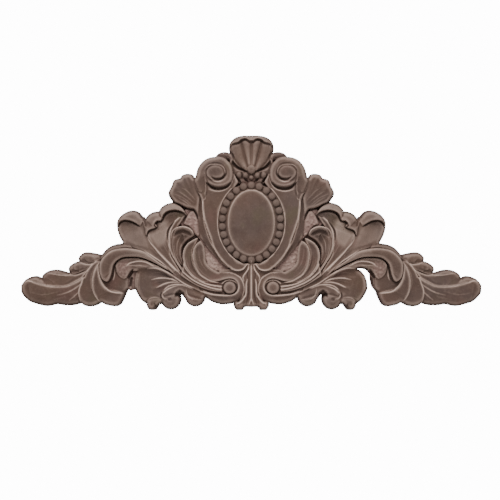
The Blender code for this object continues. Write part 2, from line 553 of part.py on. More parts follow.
BUTTON_PLACE = (44, -131.5)
VOLUTE_EYE = (71.5, 96.5)
MEDALLION_CREST = [(104, 54, 31), (99, 42, 32), (97, 30, 33), (95, 14, 34), (92, -1, 34), (84, -26, 34),
                   (76, -48, 34), (64, -69, 34), (51, -84, 34), (39, -94, 34), (27, -98, 34),
                   (16, -95, 33), (9, -86, 32)]


def lay_medallion_frame(panel):
    """Hollow moulding round the medallion, its outer edge running on from the volute's stem."""
    panel.strip([(102, 50, 26), (104, 34, 24), (105, 18, 24), (105.5, 2, 24), (105, -14, 24),
                 (101, -32, 24), (89, -50, 24), (76, -65, 24), (62, -80, 26), (48, -92, 27)],
                [(96, 50, 33), (94, 28, 33), (93, 2, 33), (87, -20, 33), (79, -42, 33), (66, -62, 33),
                 (53, -78, 33), (40, -90, 33)], hollow=2)
    panel.strip([(112, 80, 28)] + MEDALLION_CREST,
                [(24, 88, 29), (35, 73, 29), (46, 63, 29), (56, 53, 29), (63.5, 42, 29), (68, 30, 29),
                 (71, 16, 30), (71.5, -1, 30), (69, -24, 30), (60, -42, 30), (48, -60, 30),
                 (33, -75, 30), (20, -82, 30), (9, -85, 30)], hollow=4)
    panel.crest([(100, 46, 4, 1), (97, 30, 5, 3), (95, 14, 5, 4), (92, -1, 5, 4), (84, -26, 5, 4),
                 (76, -48, 5, 4), (64, -69, 5, 4), (51, -84, 5, 4), (39, -94, 5, 4), (27, -97, 5, 4),
                 (16, -94, 5, 3), (8, -84, 4, 2)])


def lay_volute(panel):
    """Volute wound up from a hollow stem, with a flat round eye."""
    panel.channel([(94, 46, 3, 33), (95, 52, 5, 32), (98, 60, 8.5, 32), (100, 70, 10.5, 32),
                   (101, 80, 11, 32), (101, 90, 10, 33)], hollow=4)
    panel.dome(VOLUTE_EYE, (24, 24), 30, 3)
    panel.band([(101, 76, 10.5, 31), (101, 84, 10, 33), (100.5, 93, 9.5, 35), (98, 104, 9, 36),
                (91, 115, 8, 37), (81, 121, 7.5, 37), (69, 122.5, 7, 37), (56, 119, 7.5, 37),
                (47, 108, 8, 37), (44.5, 95, 8, 37), (47, 83, 8, 37), (56, 75, 7.5, 36),
                (67.5, 72, 7, 35), (78, 76, 5.5, 34), (84, 83, 4.5, 33), (86, 91, 3.5, 33),
                (85, 98, 3, 33)], drop=7, fall=7)
    panel.dome(VOLUTE_EYE, (16.5, 15), 38, 7, power=0.3)


def lay_shell(panel):
    """Fluted shell at the head, its rim rolled forward in scallops."""
    panel.crown(outline([(AXIS, 173.5), (19, 171.5), (30, 169), (38, 163), (43, 155), (44, 143),
                         (40, 134)],
                        [(40, 134), (37, 126), (36, 118), (30, 110), (21, 104), (11, 100), (AXIS, 98)],
                        [(AXIS, 98), (AXIS, 173.5)]), 25, drop=4, shoulder=5, tilt=(0.0, 0.04))
    panel.strip([(AXIS, 102, 25), (AXIS, 130, 24), (AXIS, 164, 26)],
                [(5, 102, 25), (12, 128, 24), (21, 163, 26)], hollow=-5)
    panel.strip([(5, 102, 25), (12, 128, 24), (21, 163, 26)],
                [(12, 101, 22), (31, 120, 22), (41, 148, 22)], hollow=-5)
    panel.strip([(44, 140, 22), (43.5, 155, 22), (38, 163, 22), (30, 169, 22), (19, 171.5, 22),
                 (8, 173, 22), (AXIS, 173.5, 22)],
                [(42, 140, 24), (39, 153, 31), (31, 157, 33), (25, 159, 34), (21, 163, 35), (15, 165, 36),
                 (9, 164.5, 36), (4, 161, 36), (AXIS, 161, 36)], hollow=-3)


def lay_medallion(panel):
    """Oval boss in its ring of beads."""
    middle = (0, MEDALLION_Z)
    panel.dome(middle, (BEAD_RING_RADII[0] + 14, BEAD_RING_RADII[1] + 11), 31, 4, power=0.3)
    panel.groove([(BEAD_RING_RADII[0] * cos(angle), MEDALLION_Z + BEAD_RING_RADII[1] * sin(angle), 9, 6)
                  for angle in np.linspace(-pi / 2, pi / 2, 37)])
    panel.dome(middle, OVAL_RADII, 35, 5, power=0.35)
    for x, z in bead_places():
        panel.dome((x, z), (BEAD_RADIUS, BEAD_RADIUS), 37, 9)


def bead_places():
    """Places of the beads, evenly along the ring."""
    turn = np.linspace(pi / 2, pi / 2 + 2 * pi, 721)
    x = BEAD_RING_RADII[0] * np.cos(turn)
    z = MEDALLION_Z + BEAD_RING_RADII[1] * np.sin(turn)
    run = np.concatenate([[0.0], np.cumsum(np.hypot(np.diff(x), np.diff(z)))])
    marks = run[-1] * np.arange(BEADS) / BEADS
    places = zip(np.interp(marks, run, x), np.interp(marks, run, z))
    return [place for place in places if place[0] > -BEAD_RADIUS]


def carve():
    """The pieces of the ornament, from the ground up."""
    panel = Relief()
    for lay in (lay_ground, lay_wing, lay_under_leaf, lay_fan_leaf, lay_hooks, lay_tall_lobe, lay_arch,
                lay_side_fan, lay_big_leaf, lay_big_leaf_tips, lay_curled_leaf, lay_lower_scroll,
                lay_basin_leaves, lay_button, lay_small_roll, lay_garland, lay_medallion_frame, lay_volute,
                lay_shell, lay_medallion, lay_palmette):
        lay(panel)
    return panel


GAP_BESIDE_FAN_LEAF = ((208, -93), (219, -92), (230, -95), (237, -103), (238, -115), (241, -128),
                       (251, -141), (244, -152), (229, -146), (232, -132), (231, -120), (227, -108),
                       (219, -98))


def whole_panel(half):
    """Both halves side by side: places, height and distance inside the outline."""
    x = np.hstack([-half.x[:, :0:-1], half.x])
    z = np.hstack([half.z[:, :0:-1], half.z])
    height = np.hstack([half.height[:, :0:-1], half.height])
    cover = np.hstack([half.cover[:, :0:-1], half.cover])
    open_gap(x, z, cover)
    return x, z, height, cover


def open_gap(x, z, cover):
    """Cut the gap that is open on the right side only."""
    gap = outline(*zip(GAP_BESIDE_FAN_LEAF, GAP_BESIDE_FAN_LEAF[1:] + GAP_BESIDE_FAN_LEAF[:1]))
    within = inside(gap, x, z)
    rows, columns = np.where(np.abs(x - 230) + np.abs(z + 120) < 90)
    for j, i in zip(rows, columns):
        away = np.min(np.hypot(gap[:, 0] - x[j, i], gap[:, 1] - z[j, i]))
        cover[j, i] = min(cover[j, i], -away if within[j, i] else away)


def soften(height):
    """Height with each point eased towards its four neighbours, as a mould leaves it."""
    padded = np.pad(height, 1, mode="edge")
    around = padded[:-2, 1:-1] + padded[2:, 1:-1] + padded[1:-1, :-2] + padded[1:-1, 2:]
    return (2 * height + around) / 6


def border_points(x, z, cover):
    """Places where the outline crosses the lines of the grid."""
    places = []
    for js, je, is_, ie in ((slice(None), slice(None), slice(None, -1), slice(1, None)),
                            (slice(None, -1), slice(1, None), slice(None), slice(None))):
        a, b = cover[js, is_], cover[je, ie]
        crossed = (a > 0) != (b > 0)
        share = a[crossed] / (a[crossed] - b[crossed])
        places.append(np.column_stack([x[js, is_][crossed] + share * (x[je, ie] - x[js, is_])[crossed],
                                       z[js, is_][crossed] + share * (z[je, ie] - z[js, is_])[crossed]]))
    return np.vstack(places)


def round_edges(x, z, height, cover):
    """Let the carving fall to the edge thickness all along the outline."""
    away = np.full(x.shape, EDGE_ROUND)
    reach = int(EDGE_ROUND / PITCH) + 1
    for px, pz in border_points(x, z, cover):
        i = int((px - x[0, 0]) / PITCH)
        j = int((pz - z[0, 0]) / PITCH)
        near = (slice(max(0, j - reach), j + reach + 2), slice(max(0, i - reach), i + reach + 2))
        away[near] = np.minimum(away[near], np.hypot(x[near] - px, z[near] - pz))
    rise = np.sqrt(1 - (1 - away / EDGE_ROUND) ** 2)
    return EDGE + (np.maximum(height, EDGE + 1) - EDGE) * rise


def solid(x, z, height, cover):
    """Closed mesh: the front over the outline, the flat back and the edge between them."""
    bm = bmesh.new()
    corners = {}
    crossings = {}

    def corner(j, i):
        if (j, i) not in corners:
            place = x[j, i] * MM, z[j, i] * MM
            corners[j, i] = [bm.verts.new((place[0], -y * MM, place[1])) for y in (height[j, i], 0.0)]
        return corners[j, i]

    def crossing(a, b):
        key = (min(a, b), max(a, b))
        if key not in crossings:
            share = cover[a] / (cover[a] - cover[b])
            share = min(max(share, 0.08), 0.92)
            px = x[a] + share * (x[b] - x[a])
            pz = z[a] + share * (z[b] - z[a])
            crossings[key] = [bm.verts.new((px * MM, -y * MM, pz * MM)) for y in (EDGE, 0.0)]
        return crossings[key]

    rows, columns = x.shape
    for j in range(rows - 1):
        for i in range(columns - 1):
            cell = [(j, i), (j, i + 1), (j + 1, i + 1), (j + 1, i)]
            solid_corners = [cover[c] > 0 for c in cell]
            if not any(solid_corners):
                continue
            ring = []
            for k, here in enumerate(cell):
                after = cell[(k + 1) % 4]
                if cover[here] > 0:
                    ring.append((corner(*here), False))
                if (cover[here] > 0) != (cover[after] > 0):
                    ring.append((crossing(here, after), cover[here] > 0))
            add_cell(bm, ring)
    return bm


def add_cell(bm, ring):
    """Front and back faces of one cell, and the edge where the outline cuts it."""
    pairs = [pair for pair, _ in ring]
    bm.faces.new([pair[0] for pair in pairs])
    bm.faces.new([pair[1] for pair in reversed(pairs)])
    for (pair, leaves), (after, _) in zip(ring, ring[1:] + ring[:1]):
        if leaves:
            bm.faces.new([pair[0], pair[1], after[1], after[0]])


def foam_finish():
    """Matt foam in its own mauve brown."""
    finish = bpy.data.materials.new("moulded_foam")
    finish.use_nodes = True
    shader = finish.node_tree.nodes["Principled BSDF"]
    shader.inputs["Base Color"].default_value = FOAM_COLOUR
    shader.inputs["Roughness"].default_value = FOAM_ROUGHNESS
    shader.inputs["Metallic"].default_value = 0.0
    return finish


def build_panel():
    """The carved panel as one object, its origin on the back at the middle of the medallion."""
    x, z, height, cover = whole_panel(carve())
    height = round_edges(x, z, soften(height), cover)
    bm = solid(x, z, height, cover)
    bmesh.ops.triangulate(bm, faces=bm.faces)
    bmesh.ops.recalc_face_normals(bm, faces=bm.faces)
    mesh = bpy.data.meshes.new("relief_panel")
    bm.to_mesh(mesh)
    bm.free()
    mesh.materials.append(foam_finish())
    mesh.shade_smooth()
    panel = bpy.data.objects.new("relief_panel", mesh)
    bpy.context.scene.collection.objects.link(panel)
    lighten = panel.modifiers.new("fewer_faces", "DECIMATE")
    lighten.ratio = FACE_BUDGET / len(mesh.polygons)
    lighten.use_collapse_triangulate = True
    return panel


for leftover in list(bpy.data.objects):
    bpy.data.objects.remove(leftover, do_unlink=True)
build_panel()
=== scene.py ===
"""Carved crest panel in moulded foam: a beaded oval medallion between two acanthus scrolls.

The panel is one piece with a flat back. Its front is a height field that is carved leaf by leaf on a
fine grid, half by half, because the two halves are not quite alike. Places in the drawing are in
millimetres: out from the middle line, up from the middle of the medallion, and forward from the back.
"""

import logging
from dataclasses import dataclass
from enum import Enum
from math import cos, pi, radians, sin

import bmesh
import bpy
import numpy as np
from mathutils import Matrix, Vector

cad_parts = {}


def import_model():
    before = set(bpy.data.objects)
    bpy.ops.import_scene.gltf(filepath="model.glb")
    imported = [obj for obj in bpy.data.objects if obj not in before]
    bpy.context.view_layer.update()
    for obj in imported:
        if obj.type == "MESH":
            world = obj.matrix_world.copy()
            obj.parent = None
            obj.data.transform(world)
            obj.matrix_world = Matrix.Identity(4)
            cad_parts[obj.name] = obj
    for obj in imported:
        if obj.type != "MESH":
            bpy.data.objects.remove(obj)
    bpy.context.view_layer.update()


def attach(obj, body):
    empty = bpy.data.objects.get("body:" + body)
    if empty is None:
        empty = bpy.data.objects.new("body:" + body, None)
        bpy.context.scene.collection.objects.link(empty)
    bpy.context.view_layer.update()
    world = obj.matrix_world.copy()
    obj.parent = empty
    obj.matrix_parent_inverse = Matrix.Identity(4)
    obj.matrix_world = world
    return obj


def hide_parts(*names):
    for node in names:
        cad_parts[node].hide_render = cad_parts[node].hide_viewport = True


log = logging.getLogger("crest_panel")

Station = tuple[float, ...]
Line = tuple[Station, ...]
Window = tuple[slice, slice]

# A millimetre in metres, and the distance inside the outline where nothing has been carved.
MM = 0.001
NOWHERE = -100.0
# Where leaves end that run on over the middle line, a little past it.
AXIS = -1.0
WHITE = (1.0, 1.0, 1.0, 1.0)
# Fields of the panel that the mesh carries for its colour: crest and pale for pale wear, pale patches and
# painted highlight, sunk and dark for painted shade, rough for the stipple.
STORED = ("crest", "sunk", "rough", "pale", "dark")


class Side(Enum):
    """Halves of the panel as seen from the front."""

    LEFT = -1
    RIGHT = 1


class Tone(Enum):
    """Linear colours of the foam, of its painted highlight and shade, and of the studio."""

    FIELD = (0.106, 0.064, 0.048)
    # Pale of crest wear and painted highlight, also used for the pale grain.
    CREST = (0.56, 0.41, 0.34)
    # Painted shade for hollows and undercuts, also used for the dark mottle and grain.
    SHADE_AND_MOTTLE = (0.030, 0.017, 0.013)
    GROUND = (0.30, 0.19, 0.165)
    GREEN_CAST = (0.092, 0.068, 0.044)
    PINK_CAST = (0.120, 0.067, 0.055)
    BLUE_CAST = (0.098, 0.066, 0.056)
    PALE_FLOOR = (0.80, 0.79, 0.78)


def smooth(points: Line, step: float = 3.0) -> np.ndarray:
    """Sample the curve that passes through some points.

    Args:
        points: Places along the curve, whose further columns follow along.
        step: Distance between samples, in millimetres.

    Returns:
        One row for each sample.
    """
    pts = np.array(points, float)
    pts = np.vstack([2 * pts[0] - pts[1], pts, 2 * pts[-1] - pts[-2]])
    samples = []
    for before, start, end, after in zip(pts, pts[1:], pts[2:], pts[3:]):
        count = max(1, int(np.hypot(*(end - start)[:2]) / step))
        for i in range(count):
            t = i / count
            bend = 2 * before - 5 * start + 4 * end - after
            twist = 3 * start - before - 3 * end + after
            samples.append(start + 0.5 * t * (end - before + t * (bend + t * twist)))
    samples.append(pts[-2])
    return np.array(samples)


def outline(*runs: Line) -> np.ndarray:
    """Closed outline of smooth runs that meet in corners."""
    return np.vstack([smooth(run)[:-1] for run in runs])


def closed(run: Line) -> np.ndarray:
    """Outline of one smooth run that a straight side closes."""
    return outline(run, (run[-1], run[0]))


def inside(border: np.ndarray, x: np.ndarray, z: np.ndarray) -> np.ndarray:
    """Tell which points lie within a closed outline.

    Args:
        border: Points of the outline.
        x: Places out from the middle.
        z: Places up from the middle.

    Returns:
        A mask shaped like x.
    """
    within = np.zeros(x.shape, bool)
    for (x0, z0), (x1, z1) in zip(border[:, :2], np.roll(border[:, :2], -1, axis=0)):
        if z0 != z1:
            spans = (z0 > z) != (z1 > z)
            within ^= spans & (x < x0 + (z - z0) * (x1 - x0) / (z1 - z0))
    return within


def blurred(values: np.ndarray, weight: np.ndarray, reach: int) -> np.ndarray:
    """Average a field over its surroundings, leaving out what lies off the panel.

    Args:
        values: Field on the grid.
        weight: One on the panel and nought off it.
        reach: Half width of the average, in grid steps.

    Returns:
        The averaged field.
    """
    total, share = values * weight, weight.astype(float)
    for _ in range(3):
        for axis in (0, 1):
            total, share = (sliding_sum(part, reach, axis) for part in (total, share))
    return total / np.maximum(share, 1e-6)


def sliding_sum(field: np.ndarray, reach: int, axis: int) -> np.ndarray:
    """Sum a field over a window that slides along one axis.

    Args:
        field: Field on the grid.
        reach: Half width of the window, in grid steps.
        axis: Axis along which it slides.

    Returns:
        The sums, shaped like the field.
    """
    pads = [(0, 0), (0, 0)]
    pads[axis] = (reach + 1, reach)
    run = np.cumsum(np.pad(field, pads), axis=axis)
    width, length = 2 * reach + 1, run.shape[axis]
    return np.take(run, range(width, length), axis) - np.take(run, range(length - width), axis)


class Relief:
    """Height of the carving and distance inside its outline, on a grid over one half.

    A leaf that stands clear of what is there is painted pale just inside its edge, for wear and highlight,
    and painted with a dark line of shadow in an undercut just beside it.
    The values below say from which step on, how gradually, where, how wide and how deep.
    """

    ridge_height = 0.65
    step_start = 1.0
    step_range = 4.0
    pale_place = 1.7
    under_place = 0.7
    under_width = 0.9
    under_depth = 1.5

    def __init__(self, pitch: float, edge_blend: float = 2.0) -> None:
        """Lay out the grid.

        Args:
            pitch: Distance between grid points, in millimetres.
            edge_blend: Width over which one leaf steps down to the next.
        """
        self.pitch, self.edge_blend = pitch, edge_blend
        self.xs = np.arange(0.0, 467.0, pitch)
        self.zs = np.arange(-182.0, 180.0, pitch)
        self.x, self.z = np.meshgrid(self.xs, self.zs)
        self.height = np.zeros(self.x.shape)
        self.cover = np.full(self.x.shape, NOWHERE)
        self.rough = np.zeros(self.x.shape)
        self.pale = np.zeros(self.x.shape)
        self.dark = np.zeros(self.x.shape)

    def window(self, points: np.ndarray, reach: float) -> Window:
        """Slices of the grid around some points.

        Args:
            points: Points that the slices have to cover.
            reach: Margin round them.

        Returns:
            Rows and columns of the grid.
        """
        low = points[:, :2].min(axis=0) - reach
        high = points[:, :2].max(axis=0) + reach
        i0 = max(0, int(low[0] / self.pitch))
        j0 = max(0, int((low[1] - self.zs[0]) / self.pitch))
        i1 = max(i0 + 1, int(high[0] / self.pitch) + 2)
        j1 = max(j0 + 1, int((high[1] - self.zs[0]) / self.pitch) + 2)
        return slice(j0, j1), slice(i0, i1)

    def nearest(self, path: np.ndarray, reach: float) -> tuple[Window, np.ndarray, np.ndarray, np.ndarray]:
        """Find how each grid point near a path lies to it.

        Args:
            path: Samples along the path.
            reach: How far from the path to look.

        Returns:
            The window, the distance, the place along the path and the side of it.
        """
        win = self.window(path, reach)
        x, z = self.x[win], self.z[win]
        far = np.full(x.shape, -NOWHERE)
        along = np.zeros(x.shape)
        side = np.ones(x.shape)
        for k, (start, end) in enumerate(zip(path, path[1:])):
            rows, columns = self.window(path[k:k + 2], reach)
            part = (slice(rows.start - win[0].start, rows.stop - win[0].start),
                    slice(columns.start - win[1].start, columns.stop - win[1].start))
            dx, dz = (end - start)[:2]
            px, pz = x[part] - start[0], z[part] - start[1]
            t = np.clip((px * dx + pz * dz) / max(dx * dx + dz * dz, 1e-9), 0, 1)
            gap = np.hypot(px - t * dx, pz - t * dz)
            closer = gap < far[part]
            far[part][closer] = gap[closer]
            along[part][closer] = (k + t)[closer]
            side[part][closer] = np.sign(dx * pz - dz * px)[closer]
        return win, far, along, side

    def stroke(self, stations: Line) -> tuple[Window, np.ndarray, np.ndarray, np.ndarray]:
        """Follow a line with a changing width.

        Args:
            stations: Place, half width and amount at points of the line.

        Returns:
            The window, the place across from -1 to 1, the amount and the half width.
        """
        path = smooth(stations)
        win, far, along, side = self.nearest(path, path[:, 2].max() + 2 * self.pitch)
        steps = np.arange(len(path))
        half = np.maximum(np.interp(along, steps, path[:, 2]), 0.01)
        return win, side * far / half, np.interp(along, steps, path[:, 3]), half

    def lay(self, win: Window, surface: np.ndarray, into: np.ndarray, rim: float = 0.0, cut: float = 1.0,
            weight: np.ndarray | float = 1.0) -> None:
        """Put a surface over what is there, with a soft step at its edge.

        Args:
            win: Part of the grid.
            surface: Height of the surface.
            into: Distance inside its edge.
            rim: How pale its edge is painted, for wear and highlight.
            cut: How dark the painted shadow is in the undercut beside it.
            weight: How far it takes over, where it runs into what is there.
        """
        step = np.clip((surface - self.height[win] - self.step_start) / self.step_range, 0, 1)
        stand = np.where(self.cover[win] > 0, step, 0)
        share = np.clip(0.5 + into / self.edge_blend, 0, 1)
        share = share * share * (3 - 2 * share)
        share = np.where((self.cover[win] < 0) & (share > 0), 1, share * weight)
        stand = stand * weight
        self.height[win] += share * (surface - self.height[win])
        for field in (self.rough, self.pale, self.dark):
            field[win] *= 1 - share
        # Painted highlight and wear just inside the edge, painted shadow in the undercut just outside it.
        wear_and_highlight = rim * stand * np.exp(-(into - self.pale_place) ** 2)
        under = cut * stand * np.exp(-((into + self.under_place) / self.under_width) ** 2)
        self.pale[win] = np.maximum(self.pale[win], wear_and_highlight)
        self.dark[win] = np.maximum(self.dark[win], under)
        self.height[win] -= self.under_depth * under * (into < 0)
        self.cover[win] = np.maximum(self.cover[win], into)

    def area(self, border: np.ndarray, shoulder: float) -> tuple[Window, np.ndarray, np.ndarray]:
        """Window around an area, the distance inside its border, and how far its crown has risen.

        Args:
            border: Outline of the area.
            shoulder: Width over which its crown rises.

        Returns:
            The window, the distance inside the border, and the rise of the crown from 0 to 1.
        """
        win, far, _, _ = self.nearest(np.vstack([border, border[:1]]), shoulder + 3 * self.pitch)
        rise = np.clip(far / shoulder, 0, 1)
        within = inside(border, self.x[win], self.z[win])
        return win, np.where(within, far, -far), np.sqrt(1 - (1 - rise) ** 2)

    def plate(self, border: np.ndarray, level: float, rough: float = 0.0) -> None:
        """Lay flat ground, stippled where it is rough.

        Args:
            border: Its outline.
            level: Its height.
            rough: How far it is stippled.
        """
        win, into, _ = self.area(border, 8.0)
        self.lay(win, np.maximum(self.height[win], level), into)
        self.rough[win] = np.where(into > 0, rough, self.rough[win])

    def crown(self, border: np.ndarray, level: float, drop: float, shoulder: float,
              tilt: tuple[float, float] = (0.0, 0.0), cut: float = 1.0) -> None:
        """Lay an area with rounded edges.

        Args:
            border: Its outline.
            level: Height of its middle.
            drop: How much lower its border is.
            shoulder: Width of the rounding.
            tilt: Slope outward and upward.
            cut: How dark the painted shadow is in the undercut beside it.
        """
        win, into, rise = self.area(border, shoulder)
        middle = border.mean(axis=0)
        slope = tilt[0] * (self.x[win] - middle[0]) + tilt[1] * (self.z[win] - middle[1])
        self.lay(win, level + slope - drop * (1 - rise), into, cut=cut)

    def roll(self, stations: Line, drop: float) -> None:
        """Lay a half-round bar, given by its middle line, half width and top.

        Args:
            stations: Place, half width and top at points of its middle line.
            drop: How much lower its sides are.
        """
        win, across, top, half = self.stroke(stations)
        surface = top - drop * (1 - np.sqrt(np.clip(1 - across ** 2, 0, 1)))
        self.lay(win, np.maximum(surface, self.height[win]), half * (1 - np.abs(across)))

    def strip(self, left: Line, right: Line, hollow: float, rim: float = 0.3, cut: float = 1.0,
              fade: float = 0.0) -> None:
        """Lay a leaf between two edges.

        Args:
            left: First edge, with its heights.
            right: Other edge, with its heights.
            hollow: Depth of its hollow face, or negative where the face bulges.
            rim: How pale its edges are painted, for wear and highlight.
            cut: How dark the painted shadow is in the undercut beside it.
            fade: Length over which its last end runs out into what is there.
        """
        left_edge, right_edge = smooth(left), smooth(right)
        border = np.vstack([left_edge, right_edge[::-1]])
        win = self.window(border, 4 * self.pitch)
        within = inside(border, self.x[win], self.z[win])
        far_left, level_left = self.measure(left_edge, win)
        far_right, level_right = self.measure(right_edge, win)
        share = far_left / np.maximum(far_left + far_right, 0.01)
        surface = level_left + share * (level_right - level_left) - 4 * hollow * share * (1 - share)
        ends = [self.measure(np.array([left_edge[k], right_edge[k]]), win)[0] for k in (0, -1)]
        into = np.minimum(np.minimum(far_left, far_right), np.minimum(*ends))
        weight = np.clip(ends[1] / fade, 0, 1) if fade else 1.0
        self.lay(win, surface, np.where(within, into, -into), rim=rim, cut=cut, weight=weight)

    def measure(self, line: np.ndarray, win: Window) -> tuple[np.ndarray, np.ndarray]:
        """Distance from the points of a window to a line, and the line's height there.

        Args:
            line: Samples of the line, with their heights.
            win: The window.

        Returns:
            The distances and the heights.
        """
        x, z = self.x[win], self.z[win]
        far = np.full(x.shape, -NOWHERE)
        level = np.zeros(x.shape)
        for start, end in zip(line, line[1:]):
            dx, dz, climb = end - start
            t = np.clip(((x - start[0]) * dx + (z - start[1]) * dz) / max(dx * dx + dz * dz, 1e-9), 0, 1)
            gap = np.hypot(x - start[0] - t * dx, z - start[1] - t * dz)
            closer = gap < far
            far[closer] = gap[closer]
            level[closer] = (start[2] + t * climb)[closer]
        return far, level

    def channel(self, stations: Line, hollow: float) -> None:
        """Lay a leaf with raised sides and a hollow face.

        Args:
            stations: Place, half width and height at points of its middle line.
            hollow: Depth of its face.
        """
        win, across, top, half = self.stroke(stations)
        self.lay(win, top - hollow * np.clip(1 - across ** 2, 0, 1), half * (1 - np.abs(across)), cut=0.3)

    def band(self, stations: Line, drop: float, fall: float) -> None:
        """Lay a turning band, rolled over at its outer side and falling off to its inner side.

        Args:
            stations: Place, half width and top at points of its middle line.
            drop: How much lower its outer side is.
            fall: How much lower its inner side is.
        """
        win, across, top, half = self.stroke(stations)
        outward = np.clip((-across - 0.3) / 0.7, 0, 1)
        inward = np.clip((across + 0.3) / 1.3, 0, 1)
        surface = top - drop * (1 - np.sqrt(1 - outward ** 2)) - fall * inward ** 2
        self.lay(win, surface, half * (1 - np.abs(across)), cut=0.1)

    def crest(self, *lines: Line) -> None:
        """Raise a ridge along each line, given by half width and rise, painted pale for wear and highlight.

        Args:
            lines: Place, half width and rise at points of each.
        """
        for line in lines:
            win, across, rise, _ = self.stroke(line)
            self.height[win] += self.ridge_height * rise * np.clip(1 - np.abs(across), 0, 1) ** 1.7
            wear_and_highlight = np.clip(rise / 1.5, 0, 1) * np.clip(1.25 - 3.1 * np.abs(across), 0, 1)
            self.pale[win] = np.maximum(self.pale[win], wear_and_highlight)
            self.dark[win] *= 1 - wear_and_highlight

    def groove(self, *lines: Line) -> None:
        """Cut a groove along each line, given by half width and depth, with painted shade in it.

        Args:
            lines: Place, half width and depth at points of each.
        """
        for line in lines:
            win, across, depth, _ = self.stroke(line)
            self.height[win] -= depth * np.clip(1 - np.abs(across), 0, 1) ** 1.2
            deep = np.clip(depth / 3.0, 0, 1) * np.clip(1.3 - 1.3 * np.abs(across), 0, 1)
            self.dark[win] = np.maximum(self.dark[win], deep)
            self.pale[win] *= 1 - deep

    def dip(self, *lines: Line) -> None:
        """Sink a soft hollow along each line, given by half width and depth.

        Args:
            lines: Place, half width and depth at points of each.
        """
        for line in lines:
            win, across, depth, _ = self.stroke(line)
            self.height[win] -= depth * np.clip(1 - across ** 2, 0, 1) ** 2

    def dome(self, place: Station, radii: Station, top: float, rise: float, power: float = 0.5,
             cut: float = 1.0) -> None:
        """Lay a round or oval boss.

        Args:
            place: Its middle.
            radii: Its half width and half height.
            top: Height of its top.
            rise: How much lower its border is.
            power: Roundness, from flat with round edges at 0.2 to a ball at 0.5.
            cut: How dark the painted shadow is in the undercut beside it.
        """
        middle, reach = np.array(place), np.array(radii)
        win = self.window(np.vstack([middle - reach, middle + reach]), self.pitch)
        spread = np.hypot((self.x[win] - place[0]) / radii[0], (self.z[win] - place[1]) / radii[1])
        surface = top - rise * (1 - np.clip(1 - spread ** 2, 0, 1) ** power)
        self.lay(win, np.maximum(surface, self.height[win]), min(radii) * (1 - spread), cut=cut)

    def ring(self, place: Station, radii: Station, strength: float) -> None:
        """Paint a thin pale ring round a boss, for wear and highlight.

        Args:
            place: Middle of the boss.
            radii: Half width and half height of the ring.
            strength: How pale it is.
        """
        middle, reach = np.array(place), np.array(radii)
        win = self.window(np.vstack([middle - reach, middle + reach]), 4 * self.pitch)
        spread = np.hypot((self.x[win] - place[0]) / radii[0], (self.z[win] - place[1]) / radii[1])
        wear_and_highlight = strength * np.exp(-((spread - 1) * min(radii) / 0.9) ** 2)
        self.pale[win] = np.maximum(self.pale[win], wear_and_highlight)
        self.dark[win] *= 1 - wear_and_highlight

    def tint(self, border: Line | np.ndarray, rough: float = 0.0, dark: float = 0.0, pale: float = 0.0,
             soft: float = 8.0) -> None:
        """Change the look of an area.

        Args:
            border: Its outline.
            rough: How much of it is stippled ground.
            dark: How much darker it is.
            pale: How much paler it is.
            soft: Width over which its edge fades.
        """
        win, into, _ = self.area(np.array(border, float), soft)
        share = np.clip(0.5 + into / soft, 0, 1)
        self.rough[win] = np.maximum(self.rough[win], rough * share)
        self.dark[win] = np.maximum(self.dark[win], dark * share)
        self.pale[win] = np.maximum(self.pale[win], pale * share)

    def soften(self, border: Line | np.ndarray, reach: float, soft: float = 6.0) -> None:
        """Smooth the heights of an area, so that its faces run into each other.

        Args:
            border: Its outline.
            reach: Half width of the smoothing.
            soft: Width over which it sets in.
        """
        win, into, _ = self.area(np.array(border, float), soft)
        covered = self.cover[win] > 0
        share = np.clip(0.5 + into / soft, 0, 1) * covered
        even = blurred(self.height[win], covered, max(round(reach / self.pitch), 1))
        self.height[win] += share * (even - self.height[win])
        self.dark[win] *= 1 - share


def ridge(line: Line, half: float, rise: float) -> Line:
    """Ridge along an edge, thinner towards its two ends.

    Args:
        line: Places along the edge.
        half: Half width of the ridge, or of a cut.
        rise: Height of the ridge, or depth of a cut.

    Returns:
        Stations for a crest or a groove.
    """
    last = len(line) - 1
    fade = [min(1.0, (k + 0.6) / 2, (last - k + 0.8) / 2) for k in range(last + 1)]
    return tuple((s[0], s[1], half * (0.6 + 0.4 * f), rise * f) for s, f in zip(line, fade))


def ridges(lines: tuple[Line, ...], half: float, rise: float) -> list[Line]:
    """Ridges along several edges."""
    return [ridge(line, half, rise) for line in lines]


@dataclass
class Carving:
    """One group of leaves, rolls or beads."""

    def carve(self, relief: Relief) -> None:
        """Lay the group on the grid."""
        raise NotImplementedError


@dataclass
class Ground(Carving):
    """Ground that shows between the leaves and ties them together."""

    level: float = 13.0
    wedge_level: float = 21.0
    field: Line = (
        (AXIS, 150), (38, 150), (42, 130), (95, 112), (112, 84), (150, 74), (157, 36), (200, 12), (213, 1),
        (225, 12), (250, 13), (258, 0), (258, -50), (284, -62), (282, -100), (262, -100), (246, -134),
        (231, -135), (224, -148), (200, -160), (150, -160), (141, -140), (100, -140), (60, -155),
        (AXIS, -160))
    wing: Line = (
        (250, -56), (275, -56), (292, -64), (320, -74), (352, -90), (362, -104), (410, -112), (448, -128),
        (440, -146), (410, -158), (345, -152), (300, -150), (262, -146), (246, -130))
    wedge: Line = (
        (99, 36), (140, 20), (146, 0), (120, -20), (100, -40), (84, -92), (60, -98), (40, -100), (60, -74),
        (80, -40), (90, 0), (99, 36))
    pale_wedge: Line = (
        (95.5, -48), (82.5, -68), (68.5, -83), (52.5, -96), (66.5, -100), (82.5, -92), (90.5, -80),
        (94.5, -64), (95.5, -48))

    def carve(self, relief: Relief) -> None:
        """Lay the plates, the wedge beside the medallion with a stipple.

        Args:
            relief: Grid that is carved.
        """
        relief.plate(closed(self.field), self.level, 0.6)
        relief.plate(closed(self.wing), self.level)
        relief.plate(outline(self.wedge), self.wedge_level, 1.0)
        relief.tint(outline(self.pale_wedge), pale=0.3)


